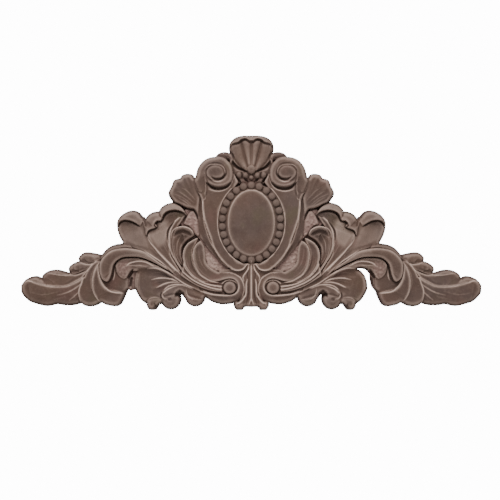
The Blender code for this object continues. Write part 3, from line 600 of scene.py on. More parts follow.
@dataclass
class Wing(Carving):
    """Outer leaf of the scroll: lobes above and below its midrib."""

    lobe_back: float = 22.0
    back: float = 18.0
    back_edge: Line = ((252.5, -44), (273, -46), (287, -53), (299, -66))
    top_lobe: Line = (
        (344, -78, 15), (345, -72, 16), (340.5, -66, 17), (334.5, -62, 18), (326.5, -61, 19),
        (312.5, -63, 22), (296.5, -67, 25))
    top_fold: Line = (
        (342.5, -80, 18), (332.5, -83, 20), (322.5, -83, 22), (314.5, -81, 23), (306.5, -77, 25),
        (296.5, -72, 26))
    small_lobe: Line = (
        (362, -101.5, 15), (365, -96, 16.5), (363.5, -90, 18), (358.5, -85, 19.5), (348.5, -80, 21),
        (340.5, -79.5, 22.5), (330.5, -82.5, 24), (318.5, -82.5, 25.5), (308.5, -75, 27))
    small_fold: Line = (
        (360.5, -103, 18), (354.5, -105, 19.5), (346.5, -103.5, 21), (336.5, -99.5, 22.5), (324.5, -94, 24),
        (316.5, -86, 25.5), (306.5, -76, 27))
    long_lobe: Line = (
        (419, -114, 15), (416.5, -106.5, 16), (408.5, -100, 17), (398.5, -96.5, 18.5), (386.5, -96, 19.5),
        (374.5, -99, 20.5), (362.5, -102.5, 21.5), (352.5, -105, 22.5), (342.5, -102.5, 24),
        (332.5, -98, 25), (322.5, -92, 26))
    midrib: Line = (
        (456.5, -124, 18), (446.5, -117.5, 19), (436.5, -119.5, 19.5), (426.5, -122.5, 20),
        (417.5, -125, 21), (408.5, -127, 22), (396.5, -128.5, 22.5), (382.5, -129, 23), (370.5, -128, 24),
        (360.5, -125, 25), (352.5, -121, 26), (342.5, -116, 27), (334.5, -110, 28), (328.5, -101.5, 29),
        (322.5, -94, 29), (314.5, -85, 29), (306.5, -76, 29))
    tip_lobe: Line = (
        (457.5, -123, 15), (450.5, -115.5, 15), (440.5, -110.5, 15.5), (430.5, -108.5, 16),
        (422.5, -111, 16.5), (417.5, -115.5, 17.5), (408.5, -122, 18))
    blade_rim: Line = (
        (461, -127, 14), (461, -134, 14), (458.5, -142, 14), (452.5, -150, 14), (442.5, -158.5, 14),
        (426.5, -164, 14), (410.5, -167.5, 14), (398.5, -166.5, 14), (387.5, -164, 14), (372.5, -166, 14),
        (356.5, -166, 14.5), (346.5, -164, 15), (339.5, -161, 15), (337.5, -150, 17), (336.5, -136, 18.5),
        (333.5, -124, 20), (328.5, -112, 22))
    lower_left: Line = (
        (340, -162, 22), (343, -150, 23), (343.5, -140, 23.5), (342, -132, 24.5), (338.5, -124, 25.5),
        (334, -112.5, 26.5), (328, -101, 27.5), (320, -89, 28), (308.5, -77, 29))
    lower_right: Line = (
        (298.5, -161, 21), (306, -154, 22), (312.5, -144, 22.5), (316, -132, 23), (317.5, -118, 24),
        (315.5, -106, 25), (311.5, -96, 25.5), (306.5, -86, 26), (300.5, -78, 27))
    lower_tip: Line = ((340, -161), (334.5, -166), (322.5, -168.5), (310.5, -166.5), (299, -160.5))
    hook_left: Line = (
        (298.5, -161, 22), (306, -154, 23.5), (312.5, -144, 25), (316, -132, 26.5), (317, -118, 28),
        (315, -106, 29), (311.5, -96, 30), (306.5, -86, 30.5), (300.5, -78, 31))
    hook_right: Line = (
        (254.5, -142, 22), (268.5, -141, 23.5), (280.5, -138, 25), (288.5, -132, 26.5), (295, -124, 28),
        (299.5, -114, 28.5), (302, -102, 29), (303, -90, 29.5), (300.5, -80, 30))
    hook_tip: Line = ((299, -160.5), (290.5, -165), (276.5, -168), (266.5, -167.5), (260.5, -164))
    veins: tuple[Line, ...] = (
        ((408.5, -102), (394.5, -104), (382.5, -106), (370.5, -106.5), (358.5, -106)),
        ((342.5, -81), (330.5, -84.5), (318.5, -85.5)),
        ((386.5, -146), (370.5, -142), (358.5, -137), (346.5, -129.5), (338.5, -123), (333.5, -114)),
        ((362.5, -156), (352.5, -148), (343.5, -139), (339.5, -130)))
    faint_veins: tuple[Line, ...] = (
        ((398.5, -155), (382.5, -152), (370.5, -149)),
        ((442.5, -140), (412.5, -145), (382.5, -138)),
        ( (294.5, -156), (278.5, -162), (266.5, -159.5), (258.5, -151)),
        ((328.5, -156), (330.5, -140), (327.5, -124), (320.5, -106)),
        ( (292.5, -150), (294.5, -136), (300.5, -124)))
    joint: Line = (
        (376, -136), (368, -131), (350, -138), (340, -152), (340, -160), (350, -160), (364, -148))
    end_shade: Line = (
        (254.5, -138), (247.5, -133), (249.5, -150), (257.5, -165), (268.5, -167), (260.5, -152))
    shades: tuple[Line, ...] = (
        ((378.5, -125), (366.5, -123), (356.5, -117), (346.5, -111), (336.5, -106)),
        ( (350.5, -158), (344.5, -152)),
        ((308.5, -162), (302.5, -158), (304.5, -153)),
        ((358.5, -99.5), (346.5, -97.5), (334.5, -93)))
    back_sides: tuple[Line, ...] = (((299, -66), (320, -84), (330, -120)), ((330, -120), (300, -158)))
    back_foot: Line = ((256, -156), (250, -142), (246, -134))
    back_root: Line = ((246, -134), (246, -60))
    web_shade: Line = ((292, -112), (298, -128), (284, -139), (258, -141), (247, -128), (250, -114))

    def carve(self, relief: Relief) -> None:
        """Lay the lobes from the back ones to the front ones.

        Args:
            relief: Grid that is carved.
        """
        relief.crown(outline(self.back_edge, *self.back_sides, self.hook_tip,
                             (self.hook_tip[-1], *self.back_foot), self.back_root,
                             (self.back_root[-1], self.back_edge[0])), self.back, drop=5, shoulder=12)
        relief.tint(self.web_shade, dark=0.15)
        relief.strip(self.top_lobe, self.top_fold, hollow=-2, fade=12)
        relief.strip(self.small_lobe, self.small_fold, hollow=-1, fade=12)
        relief.strip(self.long_lobe, self.midrib[4:], hollow=1)
        relief.strip(self.tip_lobe, self.midrib[:6], hollow=-1)
        relief.strip(self.midrib[:13], self.blade_rim, hollow=-2)
        relief.soften(self.joint, 4, 6)
        relief.crest(ridge(self.midrib, 3.4, 1.3), *ridges(self.veins, 3.2, 0.85),
                     *ridges(self.faint_veins, 2.4, 0.25))
        self.carve_lower_lobes(relief)
        relief.groove(*ridges(self.shades, 4, 0.9))

    def carve_lower_lobes(self, relief: Relief) -> None:
        """Lay the two lobes that hang beside the hook, tips first.

        Args:
            relief: Grid that is carved.
        """
        for left, right, tip in ((self.lower_left, self.lower_right, self.lower_tip),
                                 (self.hook_left, self.hook_right, self.hook_tip)):
            border = outline(tip, (tip[-1], right[0][:2], right[3][:2]), (right[3][:2], left[3][:2]),
                             (left[3][:2], left[1][:2], tip[0]))
            relief.crown(border, self.lobe_back, drop=1, shoulder=10, cut=0.0)
            relief.strip(left[::-1], right[::-1], hollow=1, fade=16)
            relief.crest(ridge(left, 3.3, 1.5))
        relief.crest(ridge(self.hook_right, 3.8, 1.8))
        relief.tint(self.end_shade, dark=0.7, soft=7)


@dataclass
class UnderLeaf(Carving):
    """Small leaf that curls out below the arch."""

    upper: Line = (
        (271, -86, 22), (264, -76, 22), (250, -72, 22), (237, -71, 22), (223, -72, 22.5), (209, -76, 23.5),
        (197, -82, 25), (183, -88, 27), (163, -100, 28.5), (152, -107, 29), (138, -117, 29))
    lower: Line = (
        (271, -89, 20), (269, -100, 20), (263, -109, 20), (254, -114, 19), (248, -110, 19), (243, -102, 20),
        (235, -98, 21), (225, -98, 23), (212, -98, 24), (200, -97, 25), (184, -101, 26), (170, -106, 27),
        (155, -114, 28), (144, -121, 28))
    pale_tip: Line = ((268.5, -92), (260.5, -80), (246.5, -80), (240.5, -88), (246.5, -112), (260.5, -110))
    veins: tuple[Line, ...] = (
        ((248.5, -88), (244.5, -84), (238.5, -81), (226.5, -78.5), (214.5, -79), (204.5, -82), (194.5, -88)),
        ((258.5, -92), (248.5, -88), (236.5, -87), (222.5, -87), (208.5, -89)))

    def carve(self, relief: Relief) -> None:
        """Lay the leaf, its pale tip and its veins.

        Args:
            relief: Grid that is carved.
        """
        relief.strip(self.upper, self.lower, hollow=-2.5, fade=26)
        relief.tint(self.pale_tip, rough=0.5)
        relief.crest(ridge(self.veins[0], 3.5, 2), ridge(self.veins[1], 3, 0.6))


@dataclass
class FanLeaf(Carving):
    """Broad smooth leaf below the scroll, with fine veins towards the stem."""

    level: float = 24.0
    joint: Line = ((226, -91), (206, -90), (190, -92), (178, -98), (186, -103), (204, -103), (226, -102))
    notch: Line = ((160, -160), (146, -151), (139, -144), (130, -146), (100, -150))
    rim: Line = (
        (207, -93), (220, -94), (229, -99), (232, -112), (233, -124), (231, -135), (227, -144), (219, -156),
        (207, -165))
    dips: tuple[Line, ...] = (
        ((205, -104, 6, 1), (185, -104, 7, 1.5), (165, -107, 5, 1.5), (148, -116, 3, 1)),
        ((195, -124, 7, 1), (178, -121, 7, 1.5), (160, -118, 4, 1)),
        ((190, -138, 8, 1), (176, -133, 7, 2), (162, -127, 5, 1)))
    veins: tuple[Line, ...] = (
        ((206.5, -93), (194.5, -92), (182.5, -94), (170.5, -98.5), (158.5, -106), (146.5, -114),
         (134.5, -122), (118.5, -130), (102.5, -137)),
        ((198.5, -115), (186.5, -112.5), (172.5, -112), (158.5, -114), (146.5, -118.5)),
        ((188.5, -131), (182.5, -128), (172.5, -123), (158.5, -120), (142.5, -121)),
        ((174.5, -136), (171.5, -133), (164.5, -128), (152.5, -125), (140.5, -125), (128.5, -128),
         (116.5, -133)))
    pink_edge: Line = ((220.5, -99), (224, -105), (226, -114), (226.5, -124), (226, -136))
    faint_veins: tuple[Line, ...] = (
        ((198.5, -123), (182.5, -118), (166.5, -116.5)),
        ((222.5, -102), (223.5, -120), (222.5, -138)),
        ( (218.5, -156), (206.5, -152), (196.5, -149), (182.5, -150)),
        ((202.5, -104), (186.5, -101), (170.5, -103.5)))

    web_cuts: tuple[Line, ...] = (
        ((236, -95, 2, 5), (239.5, -100, 3.5, 12), (243, -106, 3.5, 12), (246, -111, 2, 6)),
        ((238.5, -112, 2.5, 6), (240.5, -120, 3, 9), (243, -128, 2.5, 7)))
    slot_shadow: Line = (
        (237.5, -96), (242.5, -103), (245.5, -110), (244.5, -118), (242.5, -128), (237.5, -131),
        (236.5, -120), (239, -110), (235.5, -101), (237.5, -96))
    lower_edge: Line = ((207, -165), (182, -164), (160, -160))
    root: Line = ((100, -150), (104, -128), (120, -104), (140, -100))
    top_edge: Line = ((140, -100), (155, -111), (170, -103), (186, -97), (207, -93))

    def carve(self, relief: Relief) -> None:
        """Lay the leaf, then its shallow flutes and the veins between them.

        Args:
            relief: Grid that is carved.
        """
        relief.crown(outline(self.rim, self.lower_edge, self.notch, self.root, self.top_edge),
                     self.level, drop=2, shoulder=8, tilt=(-0.09, 0.0), cut=0.05)
        relief.dip(*self.dips)
        relief.soften(self.joint, 3, 6)
        relief.groove(*self.web_cuts)
        # Painted shadow in the gap behind the web.
        relief.tint(outline(self.slot_shadow), dark=1.0, soft=4)
        relief.crest(*ridges(self.veins, 3.2, 2), ridge(self.pink_edge, 2.4, 0.4),
                     *ridges(self.faint_veins, 2.6, 0.28))


@dataclass
class Hooks(Carving):
    """Curled tips along the lower edge."""

    claw_level: float = 25.0
    stem_level: float = 28.0
    lobe_place: Station = (160.5, -153.5)
    lobe_top: float = 29.0
    ball_place: Station = (112, -150)
    ball_top: float = 30.0
    dome_rise: float = 11.0
    lobe_radii: Station = (20, 21)
    ball_radii: Station = (19.5, 18.5)
    claw: Line = (
        (209, -164), (207.5, -170), (203.5, -174.5), (197.5, -175.5), (190.5, -174.5), (186.5, -169),
        (182.5, -164), (174.5, -156), (182.5, -150), (198.5, -152), (207.5, -157))
    cuts: tuple[Line, ...] = (
        ((179, -141), (180, -146), (179.5, -151)),
        ((192, -163), (190.5, -168), (187.5, -173)),
        ((164.5, -155), (162.5, -155.5)))
    stem: Line = (
        (176.5, -140), (170.5, -133), (158.5, -128), (142.5, -125), (126.5, -128), (106.5, -137),
        (90.5, -146), (94.5, -153), (110.5, -152), (126.5, -146), (136.5, -142.5), (146.5, -142),
        (160.5, -146), (172.5, -148), (176.5, -140))
    curl: Line = (
        (133.5, -125.5), (149.5, -127.5), (162.5, -132), (172.5, -139), (178, -145), (175.5, -151),
        (167, -153.5))
    claw_shade: Line = (
        (194, -166), (188.5, -164), (182.5, -165), (186.5, -172), (192.5, -176), (196.5, -175))
    pit_shadow: Line = (
        (151, -145), (146.5, -143), (140.5, -143.5), (136, -147), (137.5, -154), (139.5, -162), (143, -168),
        (145.5, -167), (142.5, -158), (142, -151), (146.5, -148.5), (151, -145))
    arc: Line = ((150.5, -148), (147.5, -142), (142.5, -139), (137.5, -142), (136, -150))
    veins: tuple[Line, ...] = (
        ((175.5, -137), (176.5, -143), (175.5, -150), (170.5, -155)),
        ((129.5, -134), (128.5, -142), (124.5, -149), (116.5, -154)),
        ((206.5, -157), (202.5, -153), (194.5, -150.5), (182.5, -150.5)))
    heel: Line = ((133, -138, 9, 26), (124, -143, 14, 28), (116, -147, 17, 29))
    curl_pit: Line = ((152, -141, 4, 4), (146, -141, 6, 8), (140, -144, 6, 7))
    lower_pits: tuple[Line, ...] = (
        ((149, -146, 4, 4), (142, -147, 5, 8), (139, -152, 4, 8), (141, -160, 3, 5)),
        ((166, -152, 4, 0.5), (162, -153.5, 5, 2), (158, -155, 4, 0.5)))

    def carve(self, relief: Relief) -> None:
        """Lay the claw, the two lobes and the stem above them.

        Args:
            relief: Grid that is carved.
        """
        relief.crown(closed(self.claw), self.claw_level, drop=5, shoulder=7, cut=0.2)
        relief.dome(self.lobe_place, self.lobe_radii, self.lobe_top, self.dome_rise, cut=0.4)
        relief.roll(self.heel, drop=8)
        relief.dome(self.ball_place, self.ball_radii, self.ball_top, self.dome_rise, cut=0.4)
        relief.dip(self.curl_pit)
        relief.crown(outline(self.stem), self.stem_level, drop=3, shoulder=8, cut=0.0)
        relief.crest(*ridges(self.veins, 3, 1), ridge(FanLeaf.veins[3], 3.5, 2))
        relief.groove(*ridges(self.cuts, 2.4, 4), ridge(self.arc, 5.5, 6))
        relief.dip(*self.lower_pits)
        # Painted shadow in the hollow beside the curl.
        relief.tint(outline(self.pit_shadow), dark=1.0, soft=3)
        relief.tint(self.claw_shade, dark=0.9, soft=3)
        relief.crest(ridge(self.curl, 2.6, 1.2))


@dataclass
class TallLobe(Carving):
    """Tall leaf that stands up from the scroll, its tip turned over."""

    outer: Line = (
        (268, 0, 22), (268, -8, 22), (266, -20, 22), (260, -34, 23), (250, -47, 25), (232, -53, 28),
        (213, -59, 31), (199, -69, 31), (184, -79, 31), (170, -89, 31), (160, -99, 30), (149, -110, 29))
    inner: Line = (
        (214, 10, 24), (213, 2, 24), (211, -8, 25), (208, -18, 26), (201, -32, 28), (192, -45, 29),
        (183, -58, 30), (174, -69, 30), (164, -81, 30), (155, -92, 30), (147, -101, 30), (138, -110, 29))
    face: Line = (
        (262, -8), (256, -36), (236, -50), (206, -58), (200, -50), (206, -30), (216, -6), (240, -2))
    lip_edge: Line = (
        (267, -10, 22), (267, 2, 22), (263, 9, 22), (257, 15, 22), (247, 20.5, 22), (237, 22.5, 22),
        (227, 20.5, 22), (219, 13, 22), (214, 4, 22))
    lip_fold: Line = (
        (264.5, -8, 26), (263.5, -3, 30), (260, 1, 32), (254.5, 3, 32), (244.5, 3, 32), (234.5, 0, 31),
        (226.5, -5, 28), (220.5, -9, 24))
    lip_cut: Line = (
        (264.5, -10, 1, 1), (263, -4, 2, 3.5), (259.5, 0, 2, 4.5), (254.5, 2, 2, 5), (244.5, 2, 2, 5),
        (235.5, -1.5, 2, 4.5), (226.5, -6.5, 2, 3.5), (221.5, -10, 1, 1))
    streaks: tuple[Line, ...] = (
        ((250.5, -8), (249.5, -28), (242.5, -50)),
        ((240.5, -8), (237.5, -28), (228.5, -48), (212.5, -64)),
        ( (231.5, -8), (226.5, -28), (214.5, -48)))
    face_dip: Line = ((238, -22, 12, 1), (225, -40, 12, 2.5), (208, -53, 9, 2.5), (190, -69, 6, 2))
    pale_face: Line = ((262, -6), (254, -40), (216, -60), (190, -76), (200, -40), (214, -10))

    def carve(self, relief: Relief) -> None:
        """Lay the smooth face and its faint streaks, then the tip over it.

        Args:
            relief: Grid that is carved.
        """
        relief.strip(self.outer, self.inner, hollow=1, cut=0.1, fade=12)
        relief.dip(self.face_dip)
        relief.tint(self.pale_face, pale=0.14, soft=18)
        relief.soften(self.face, 5, 8)
        relief.crest(*ridges(self.streaks, 3, 0.25))
        relief.strip(self.lip_edge, self.lip_fold, hollow=-3, rim=0.3)
        relief.groove(self.lip_cut)


@dataclass
class Arch(Carving):
    """Rolled stem that arches over and ends in a hook."""

    bevel: Line = (
        (299, -66, 20), (287, -53, 20), (273, -46, 20), (263, -44, 20), (252, -43, 22), (240, -47, 26))
    shoulder: Line = (
        (299, -76, 30), (291, -67, 30), (277, -58, 30), (262, -53, 30), (247, -52, 30), (236, -53, 30))
    outer: Line = (
        (290, -119, 26), (297, -114, 28), (301, -103, 30), (302, -89, 32), (299, -77, 33), (290, -66, 33),
        (277, -57, 33), (262, -53, 33), (247, -52, 32), (230, -54, 32), (213, -58.5, 32), (199, -68, 32),
        (184, -79, 32), (170, -89, 32), (160, -99, 31), (150, -107, 30))
    inner: Line = (
        (287, -120, 26), (283, -116, 27), (279, -106, 28), (276, -94, 29), (274, -86, 30), (268, -78, 30),
        (258, -71.5, 30), (249, -70, 30), (237, -69.5, 30), (223, -70.5, 30), (209, -74.5, 29),
        (197, -80, 28), (185, -86, 28), (163, -99, 28), (152, -106, 28), (146, -110, 28))
    joint: Line = ((312, -68), (303, -65), (298, -74), (303, -81), (311, -79))
    face: Line = (
        (297, -100), (297, -80), (284, -64), (262, -57), (240, -57), (240, -66), (262, -68), (276, -80),
        (282, -100))
    pale_lines: tuple[Line, ...] = (
        ((301.5, -82), (294.5, -71), (284.5, -61.5), (272.5, -55.5), (260.5, -53), (248.5, -52.5)),
        ((214.5, -56), (202.5, -64), (190.5, -72), (178.5, -81), (166.5, -92), (158.5, -99), (150.5, -105)))
    hook_cut: Line = ((274, -96), (276, -106), (279, -114), (284.5, -119), (290.5, -119.5), (295.5, -117))
    hook_gleam: Line = ((272, -89), (272.5, -98), (273, -108), (275.5, -116))
    undercut: Line = (
        (277.5, -110), (275.5, -100), (273.5, -91), (270.5, -84), (266.5, -78), (260.5, -74), (250.5, -71),
        (236.5, -70.5), (222.5, -71.5), (210.5, -74.5), (200.5, -79), (188.5, -85), (176.5, -91),
        (162.5, -99), (150.5, -108), (134.5, -118))

    def carve(self, relief: Relief) -> None:
        """Lay the bevel outside it, the roll, and the ridge where the roll meets the tall leaf.

        Args:
            relief: Grid that is carved.
        """
        relief.strip(self.bevel, self.shoulder, hollow=-2, rim=0.0)
        # Painted shade on the bevel outside the roll.
        relief.tint(tuple(place[:2] for place in self.bevel + self.shoulder[::-1]), dark=0.45)
        relief.strip(self.outer, self.inner, hollow=-3, fade=26)
        relief.tint(self.face, dark=0.24)
        relief.crest(ridge(self.pale_lines[0], 3, 0.4), ridge(self.pale_lines[1], 3.6, 1.8))
        relief.groove(ridge(self.undercut[:10], 1.9, 2.8), ridge(self.undercut[8:13], 1.9, 1.2),
                      ridge(self.hook_cut, 1.9, 2.4))
        relief.crest(ridge(self.hook_gleam, 2.6, 1.2))
        relief.soften(self.joint, 3, 5)


@dataclass
class BigLeaf(Carving):
    """Main leaf: its face hollowed between two ribs, its tips turned over."""

    back: float = 27.0
    joint: Line = ((157, -99), (147, -99), (140, -107), (145, -114), (156, -109))
    edge: Line = (
        (208, -22, 28), (205, -31, 30), (198, -42, 30), (189, -55, 30), (180, -65, 30), (170, -76, 30),
        (161, -87, 30), (151, -97, 31), (140, -107, 31), (128, -115, 31))
    fold: Line = (
        (148, 4, 28), (157, -5, 28), (161, -15, 28), (163, -27, 28), (164, -40, 28), (162, -52, 28),
        (160, -65, 28), (154, -76, 28), (147, -87, 28), (139, -99, 29), (127, -109, 30))
    rib: Line = (
        (142.5, 9, 28), (150.5, 2, 29), (157.5, -8, 30), (161.5, -18, 30.5), (163.5, -28, 31.5),
        (163.5, -40, 32), (162.5, -52, 32), (158.5, -66, 32), (152.5, -76, 32), (145.5, -87, 32),
        (137.5, -98, 31.5), (128.5, -106, 31))
    inner: Line = (
        (131, 13, 26), (137, 4, 26), (143, -6, 26), (150, -16, 26), (154, -28, 26), (155, -42, 26),
        (153, -56, 26), (149, -70, 26), (143, -82, 26), (135, -93, 26), (125, -104, 27))
    veins: tuple[Line, ...] = (
        ((206.5, -28), (203.5, -36), (198.5, -44), (191.5, -52), (182.5, -63), (174.5, -72), (164.5, -82),
         (154.5, -92), (146.5, -100)),
        ((182.5, -62), (174.5, -70.5), (162.5, -82), (150.5, -94), (140.5, -105)))
    faint_veins: tuple[Line, ...] = (
        ((196.5, -22), (193.5, -32), (186.5, -44), (174.5, -60)),
        ((188.5, -16), (183.5, -28), (176.5, -42), (166.5, -60), (154.5, -80)),
        ((176.5, -8), (175.5, -24), (171.5, -42), (162.5, -64)),
        ((184.5, -8), (180.5, -20)),
        ( (156.5, -20), (157.5, -40), (152.5, -60)))
    tip_cut: Line = (
        (128.5, 15, 1, 1), (136.5, 19, 2, 4), (144.5, 21, 2.5, 5), (154.5, 21.5, 2.5, 5),
        (164, 19.5, 2.5, 5), (171.5, 14.5, 2.5, 5), (175.5, 7.5, 2, 4), (178.5, 0.5, 2, 4), (186, 0, 2, 4),
        (190.5, -3.5, 2, 4), (192, -8, 2, 4), (188, -11.5, 2, 4), (194.5, -14.5, 2, 5), (202, -17, 2, 5),
        (205.5, -22, 2, 4), (207, -30, 1, 1))
    undercuts: tuple[Line, ...] = (
        ((152.5, 1), (158.5, -7), (164.5, -16), (166.5, -24), (167, -36)),
        ((129, 13), (133.5, 6), (137, -2)))
    tips: tuple[tuple[Line, Line], ...] = (
        (((210, -27, 24), (213, -14, 24), (213, -4, 26), (206, 4, 28), (196, 5, 29)),
         ((208, -27, 30), (205, -19, 33), (199, -15.5, 34), (193, -13.5, 34), (186, -10, 33))),
        (((212, -8, 23), (212.5, -2, 22), (212, 5, 22), (208, 11, 22), (201, 17, 22), (193, 20, 23),
          (182, 21, 26)),
         ((205, -15, 32), (194, -10, 35), (192, -6, 36), (191, -2, 36), (187, 2, 36), (180, 2, 36),
          (177, 6, 35))),
        (((177, 4, 30), (183, 14, 28), (184, 22, 24), (181, 27, 23), (175, 32, 23), (167, 35.5, 24),
          (156, 38, 28), (145, 34, 30), (136, 26, 31), (128, 14, 30)),
         ((177, 3, 34), (176, 10, 36), (172, 17, 38), (163, 22, 38), (151, 23.5, 38), (141, 21, 37),
          (134, 17, 35), (129, 13, 32))))
    back_runs: tuple[Line, ...] = (
        ((207, -26), (212, -12), (212, 4), (204, 15), (193, 20), (183, 21)),
        ((183, 21), (177, 31), (168, 36), (156, 39)),
        ((156, 39), (140, 28), (130, 14)),
        ((130, 14), (150, 0), (164, -30)),
        ((164, -30), (207, -26)))
    pale_face: Line = ((204, -26), (190, -14), (178, 4), (166, 2), (164, -20), (172, -44), (186, -50))

    def carve(self, relief: Relief) -> None:
        """Lay the back of the tips, the two faces with their ribs, and the tips.

        Args:
            relief: Grid that is carved.
        """
        relief.crown(outline(*self.back_runs), self.back, drop=4, shoulder=5)
        relief.strip(self.edge, self.fold, hollow=2, cut=0.0, fade=20)
        relief.crest(*ridges(self.faint_veins, 2.6, 0.28), ridge(self.veins[0], 3.5, 2),
                     ridge(self.veins[1], 3.5, 1.5))
        relief.tint(self.pale_face, pale=0.30)
        relief.strip(self.rib, self.inner, hollow=1, cut=0.5, fade=14)
        relief.crest(ridge(self.rib, 4, 3))
        for edge, fold in self.tips:
            relief.strip(edge, fold, hollow=-3, rim=0.3)
        relief.groove(self.tip_cut, *ridges(self.undercuts, 2.6, 4))
        relief.soften(self.joint, 3, 5)


@dataclass
class SideFan(Carving):
    """Fan between the volute and the main leaf, softly fluted."""

    root: Station = (101, 20)
    flute_ends: Line = ((156, 50), (156, 66), (147, 78), (135, 86), (124, 88), (115, 80))
    veins: tuple[Line, ...] = (
        ((150.5, 62), (142.5, 59), (133, 53), (123.5, 46), (114, 37.5)),
        ((153.5, 55), (144.5, 52), (134.5, 47), (126.5, 41), (119.5, 34.5)),
        ((148, 48.5), (140.5, 45), (133, 40.5), (126.5, 36), (122, 32)),
        ((141.5, 69), (133.5, 65), (125, 59), (117.5, 51), (111, 43)))
    level: float = 29.0
    shaded: Line = ((156, 50), (160, 60), (148, 80), (130, 88), (116, 82), (112, 56), (118, 40), (140, 40))
    border: tuple[Line, ...] = (
        ((156, 40), (163, 50), (165, 59), (159, 71)),
        ((159, 71), (154, 83), (142, 87)),
        ((142, 87), (138, 93), (128, 96), (118, 94), (112, 86)),
        ((112, 86), (106, 60), (97, 40)),
        ((97, 40), (100, 18), (105, 6)),
        ((105, 6), (107, 13), (112, 21), (115, 25), (127, 27), (135, 30), (143, 34), (153, 38)))
    foot_cut: Line = (
        (161, 39), (153, 37), (143, 33), (135, 29), (127, 26), (115, 24), (111, 19), (106, 11))

    def carve(self, relief: Relief) -> None:
        """Lay the fan, its turned rim, its flutes and the fine veins between them.

        Args:
            relief: Grid that is carved.
        """
        relief.crown(outline(*self.border), self.level, drop=4, shoulder=7, tilt=(-0.05, -0.02))
        for tip in self.flute_ends:
            relief.dip(((*self.along(tip, 0.5), 3, 0.2), (*self.along(tip, 0.75), 5, 0.35), (*tip, 6, 0.6)))
        relief.crest(*ridges(self.veins, 2.2, 0.35))
        relief.tint(self.shaded, dark=0.16, soft=10)
        relief.groove(ridge(self.foot_cut, 3, 4))

    def along(self, tip: Station, share: float) -> Station:
        """Place on the way from the root to a tip.

        Args:
            tip: Place of the tip.
            share: How far towards it, from 0 to 1.

        Returns:
            The place.
        """
        return tuple(root + share * (end - root) for root, end in zip(self.root, tip))


@dataclass
class CurledLeaf(Carving):
    """Small leaf that curls over towards the medallion, and the patch of ground above it."""

    ground_level: float = 24.0
    ground: Line = (
        (134.5, -4), (126.5, 14), (116.5, 22), (108.5, 8), (104.5, -12), (104.5, -28), (112.5, -24),
        (122.5, -10), (134.5, -6))
    outer: Line = (
        (114, -25, 34), (117, -17, 35), (123, -12, 36), (133, -8, 36), (143, -9, 35), (151, -15, 33),
        (155, -26, 30), (156, -40, 28), (154, -54, 28), (150, -68, 28), (144, -80, 28), (135, -91, 28),
        (125, -101, 28), (113, -111, 29))
    inner: Line = (
        (112.5, -26, 33), (118.5, -31, 34), (126, -36, 33), (132, -42.5, 32), (137, -50.5, 30),
        (139, -60, 29), (139, -68, 27), (137, -79, 27), (131, -92, 27), (122, -103, 27), (109, -114, 28))
    rim: Line = (
        (159, -32), (158, -22), (153.5, -15), (146.5, -11), (136.5, -10), (125.5, -12), (118, -17.5),
        (114.5, -24))
    hollow: Line = (
        (153.5, -28, 3, 1.5), (146.5, -21.5, 5, 3.5), (136.5, -19, 6, 4), (126.5, -22, 5, 4),
        (119.5, -27, 3, 2))
    shaded: Line = (
        (153.5, -22), (146.5, -16), (134.5, -14.5), (124.5, -17.5), (116.5, -25), (120.5, -31),
        (128.5, -34), (133.5, -40), (135.5, -46), (142.5, -36), (148.5, -28), (153.5, -22))
    vein: Line = ((138.5, -25), (142.5, -32), (147, -42), (148, -54), (146.5, -66))
    undercut: Line = ((112.5, -27.5), (120.5, -32), (128.5, -38), (133.5, -44), (137.5, -50), (140.5, -58))

    def carve(self, relief: Relief) -> None:
        """Lay the ground, the hollow leaf, its rolled rim and a low vein.

        Args:
            relief: Grid that is carved.
        """
        patch = outline(self.ground)
        relief.crown(patch, self.ground_level, drop=0.5, shoulder=3)
        relief.tint(patch, rough=0.85)
        relief.strip(self.outer, self.inner, hollow=3, rim=0.0)
        relief.dip(self.hollow)
        relief.tint(outline(self.shaded), dark=0.75, soft=6)
        relief.crest(ridge(self.rim, 2.8, 1.8), ridge(self.vein, 2.6, 0.6))
        relief.groove(ridge(self.undercut, 2, 2.6), ridge(BigLeaf.undercuts[1], 2.4, 2.4))


@dataclass
class LowerScroll(Carving):
    """Band of the scroll at the foot."""

    foot_level: float = 28.0
    level: float = 27.0
    outer: Line = (
        (88, -88, 27), (73, -97, 27), (59, -101, 27), (43, -101, 28), (29, -104, 28), (19, -110, 28),
        (14, -117, 28), (12, -127, 28), (12, -137, 27), (16, -148, 26), (24, -156, 25), (37, -162, 24),
        (49, -164, 23), (62, -164, 23), (73, -161, 23), (82, -157, 23), (92, -149, 24))
    foot_ground: Line = (
        (AXIS, -80), (20, -84), (40, -92), (64, -97), (58, -104), (42, -104), (28, -108), (14, -120),
        (AXIS, -124))
    top_edge: Line = (
        (58.5, -101), (50.5, -100.5), (42.5, -101), (34.5, -103), (22.5, -110), (16.5, -120), (14, -134),
        (18, -149), (26.5, -162))
    inner: Line = (
        (92, -109, 31), (80, -116, 31), (66, -118, 32), (54, -115, 33), (44, -113, 33), (34, -115, 33),
        (27, -123, 33), (26, -132, 33), (30, -140, 33), (38, -144, 33), (48, -145, 33), (62, -144, 32),
        (77, -142, 31), (89, -138, 30), (98, -133, 28))
    ground: Line = (
        (100, -104), (59, -101), (29, -104), (14, -117), (12, -137), (24, -156), (49, -164), (73, -161),
        (98, -146), (110, -136))

    def carve(self, relief: Relief) -> None:
        """Lay the ground at the foot, the plate behind the scroll and the band that winds round it.

        Args:
            relief: Grid that is carved.
        """
        relief.crown(closed(self.foot_ground), self.foot_level, drop=1, shoulder=4, cut=0.0)
        relief.plate(closed(self.ground), self.level)
        relief.strip(self.outer, self.inner, hollow=-1)
        relief.crest(ridge(self.top_edge, 3, 1.2))


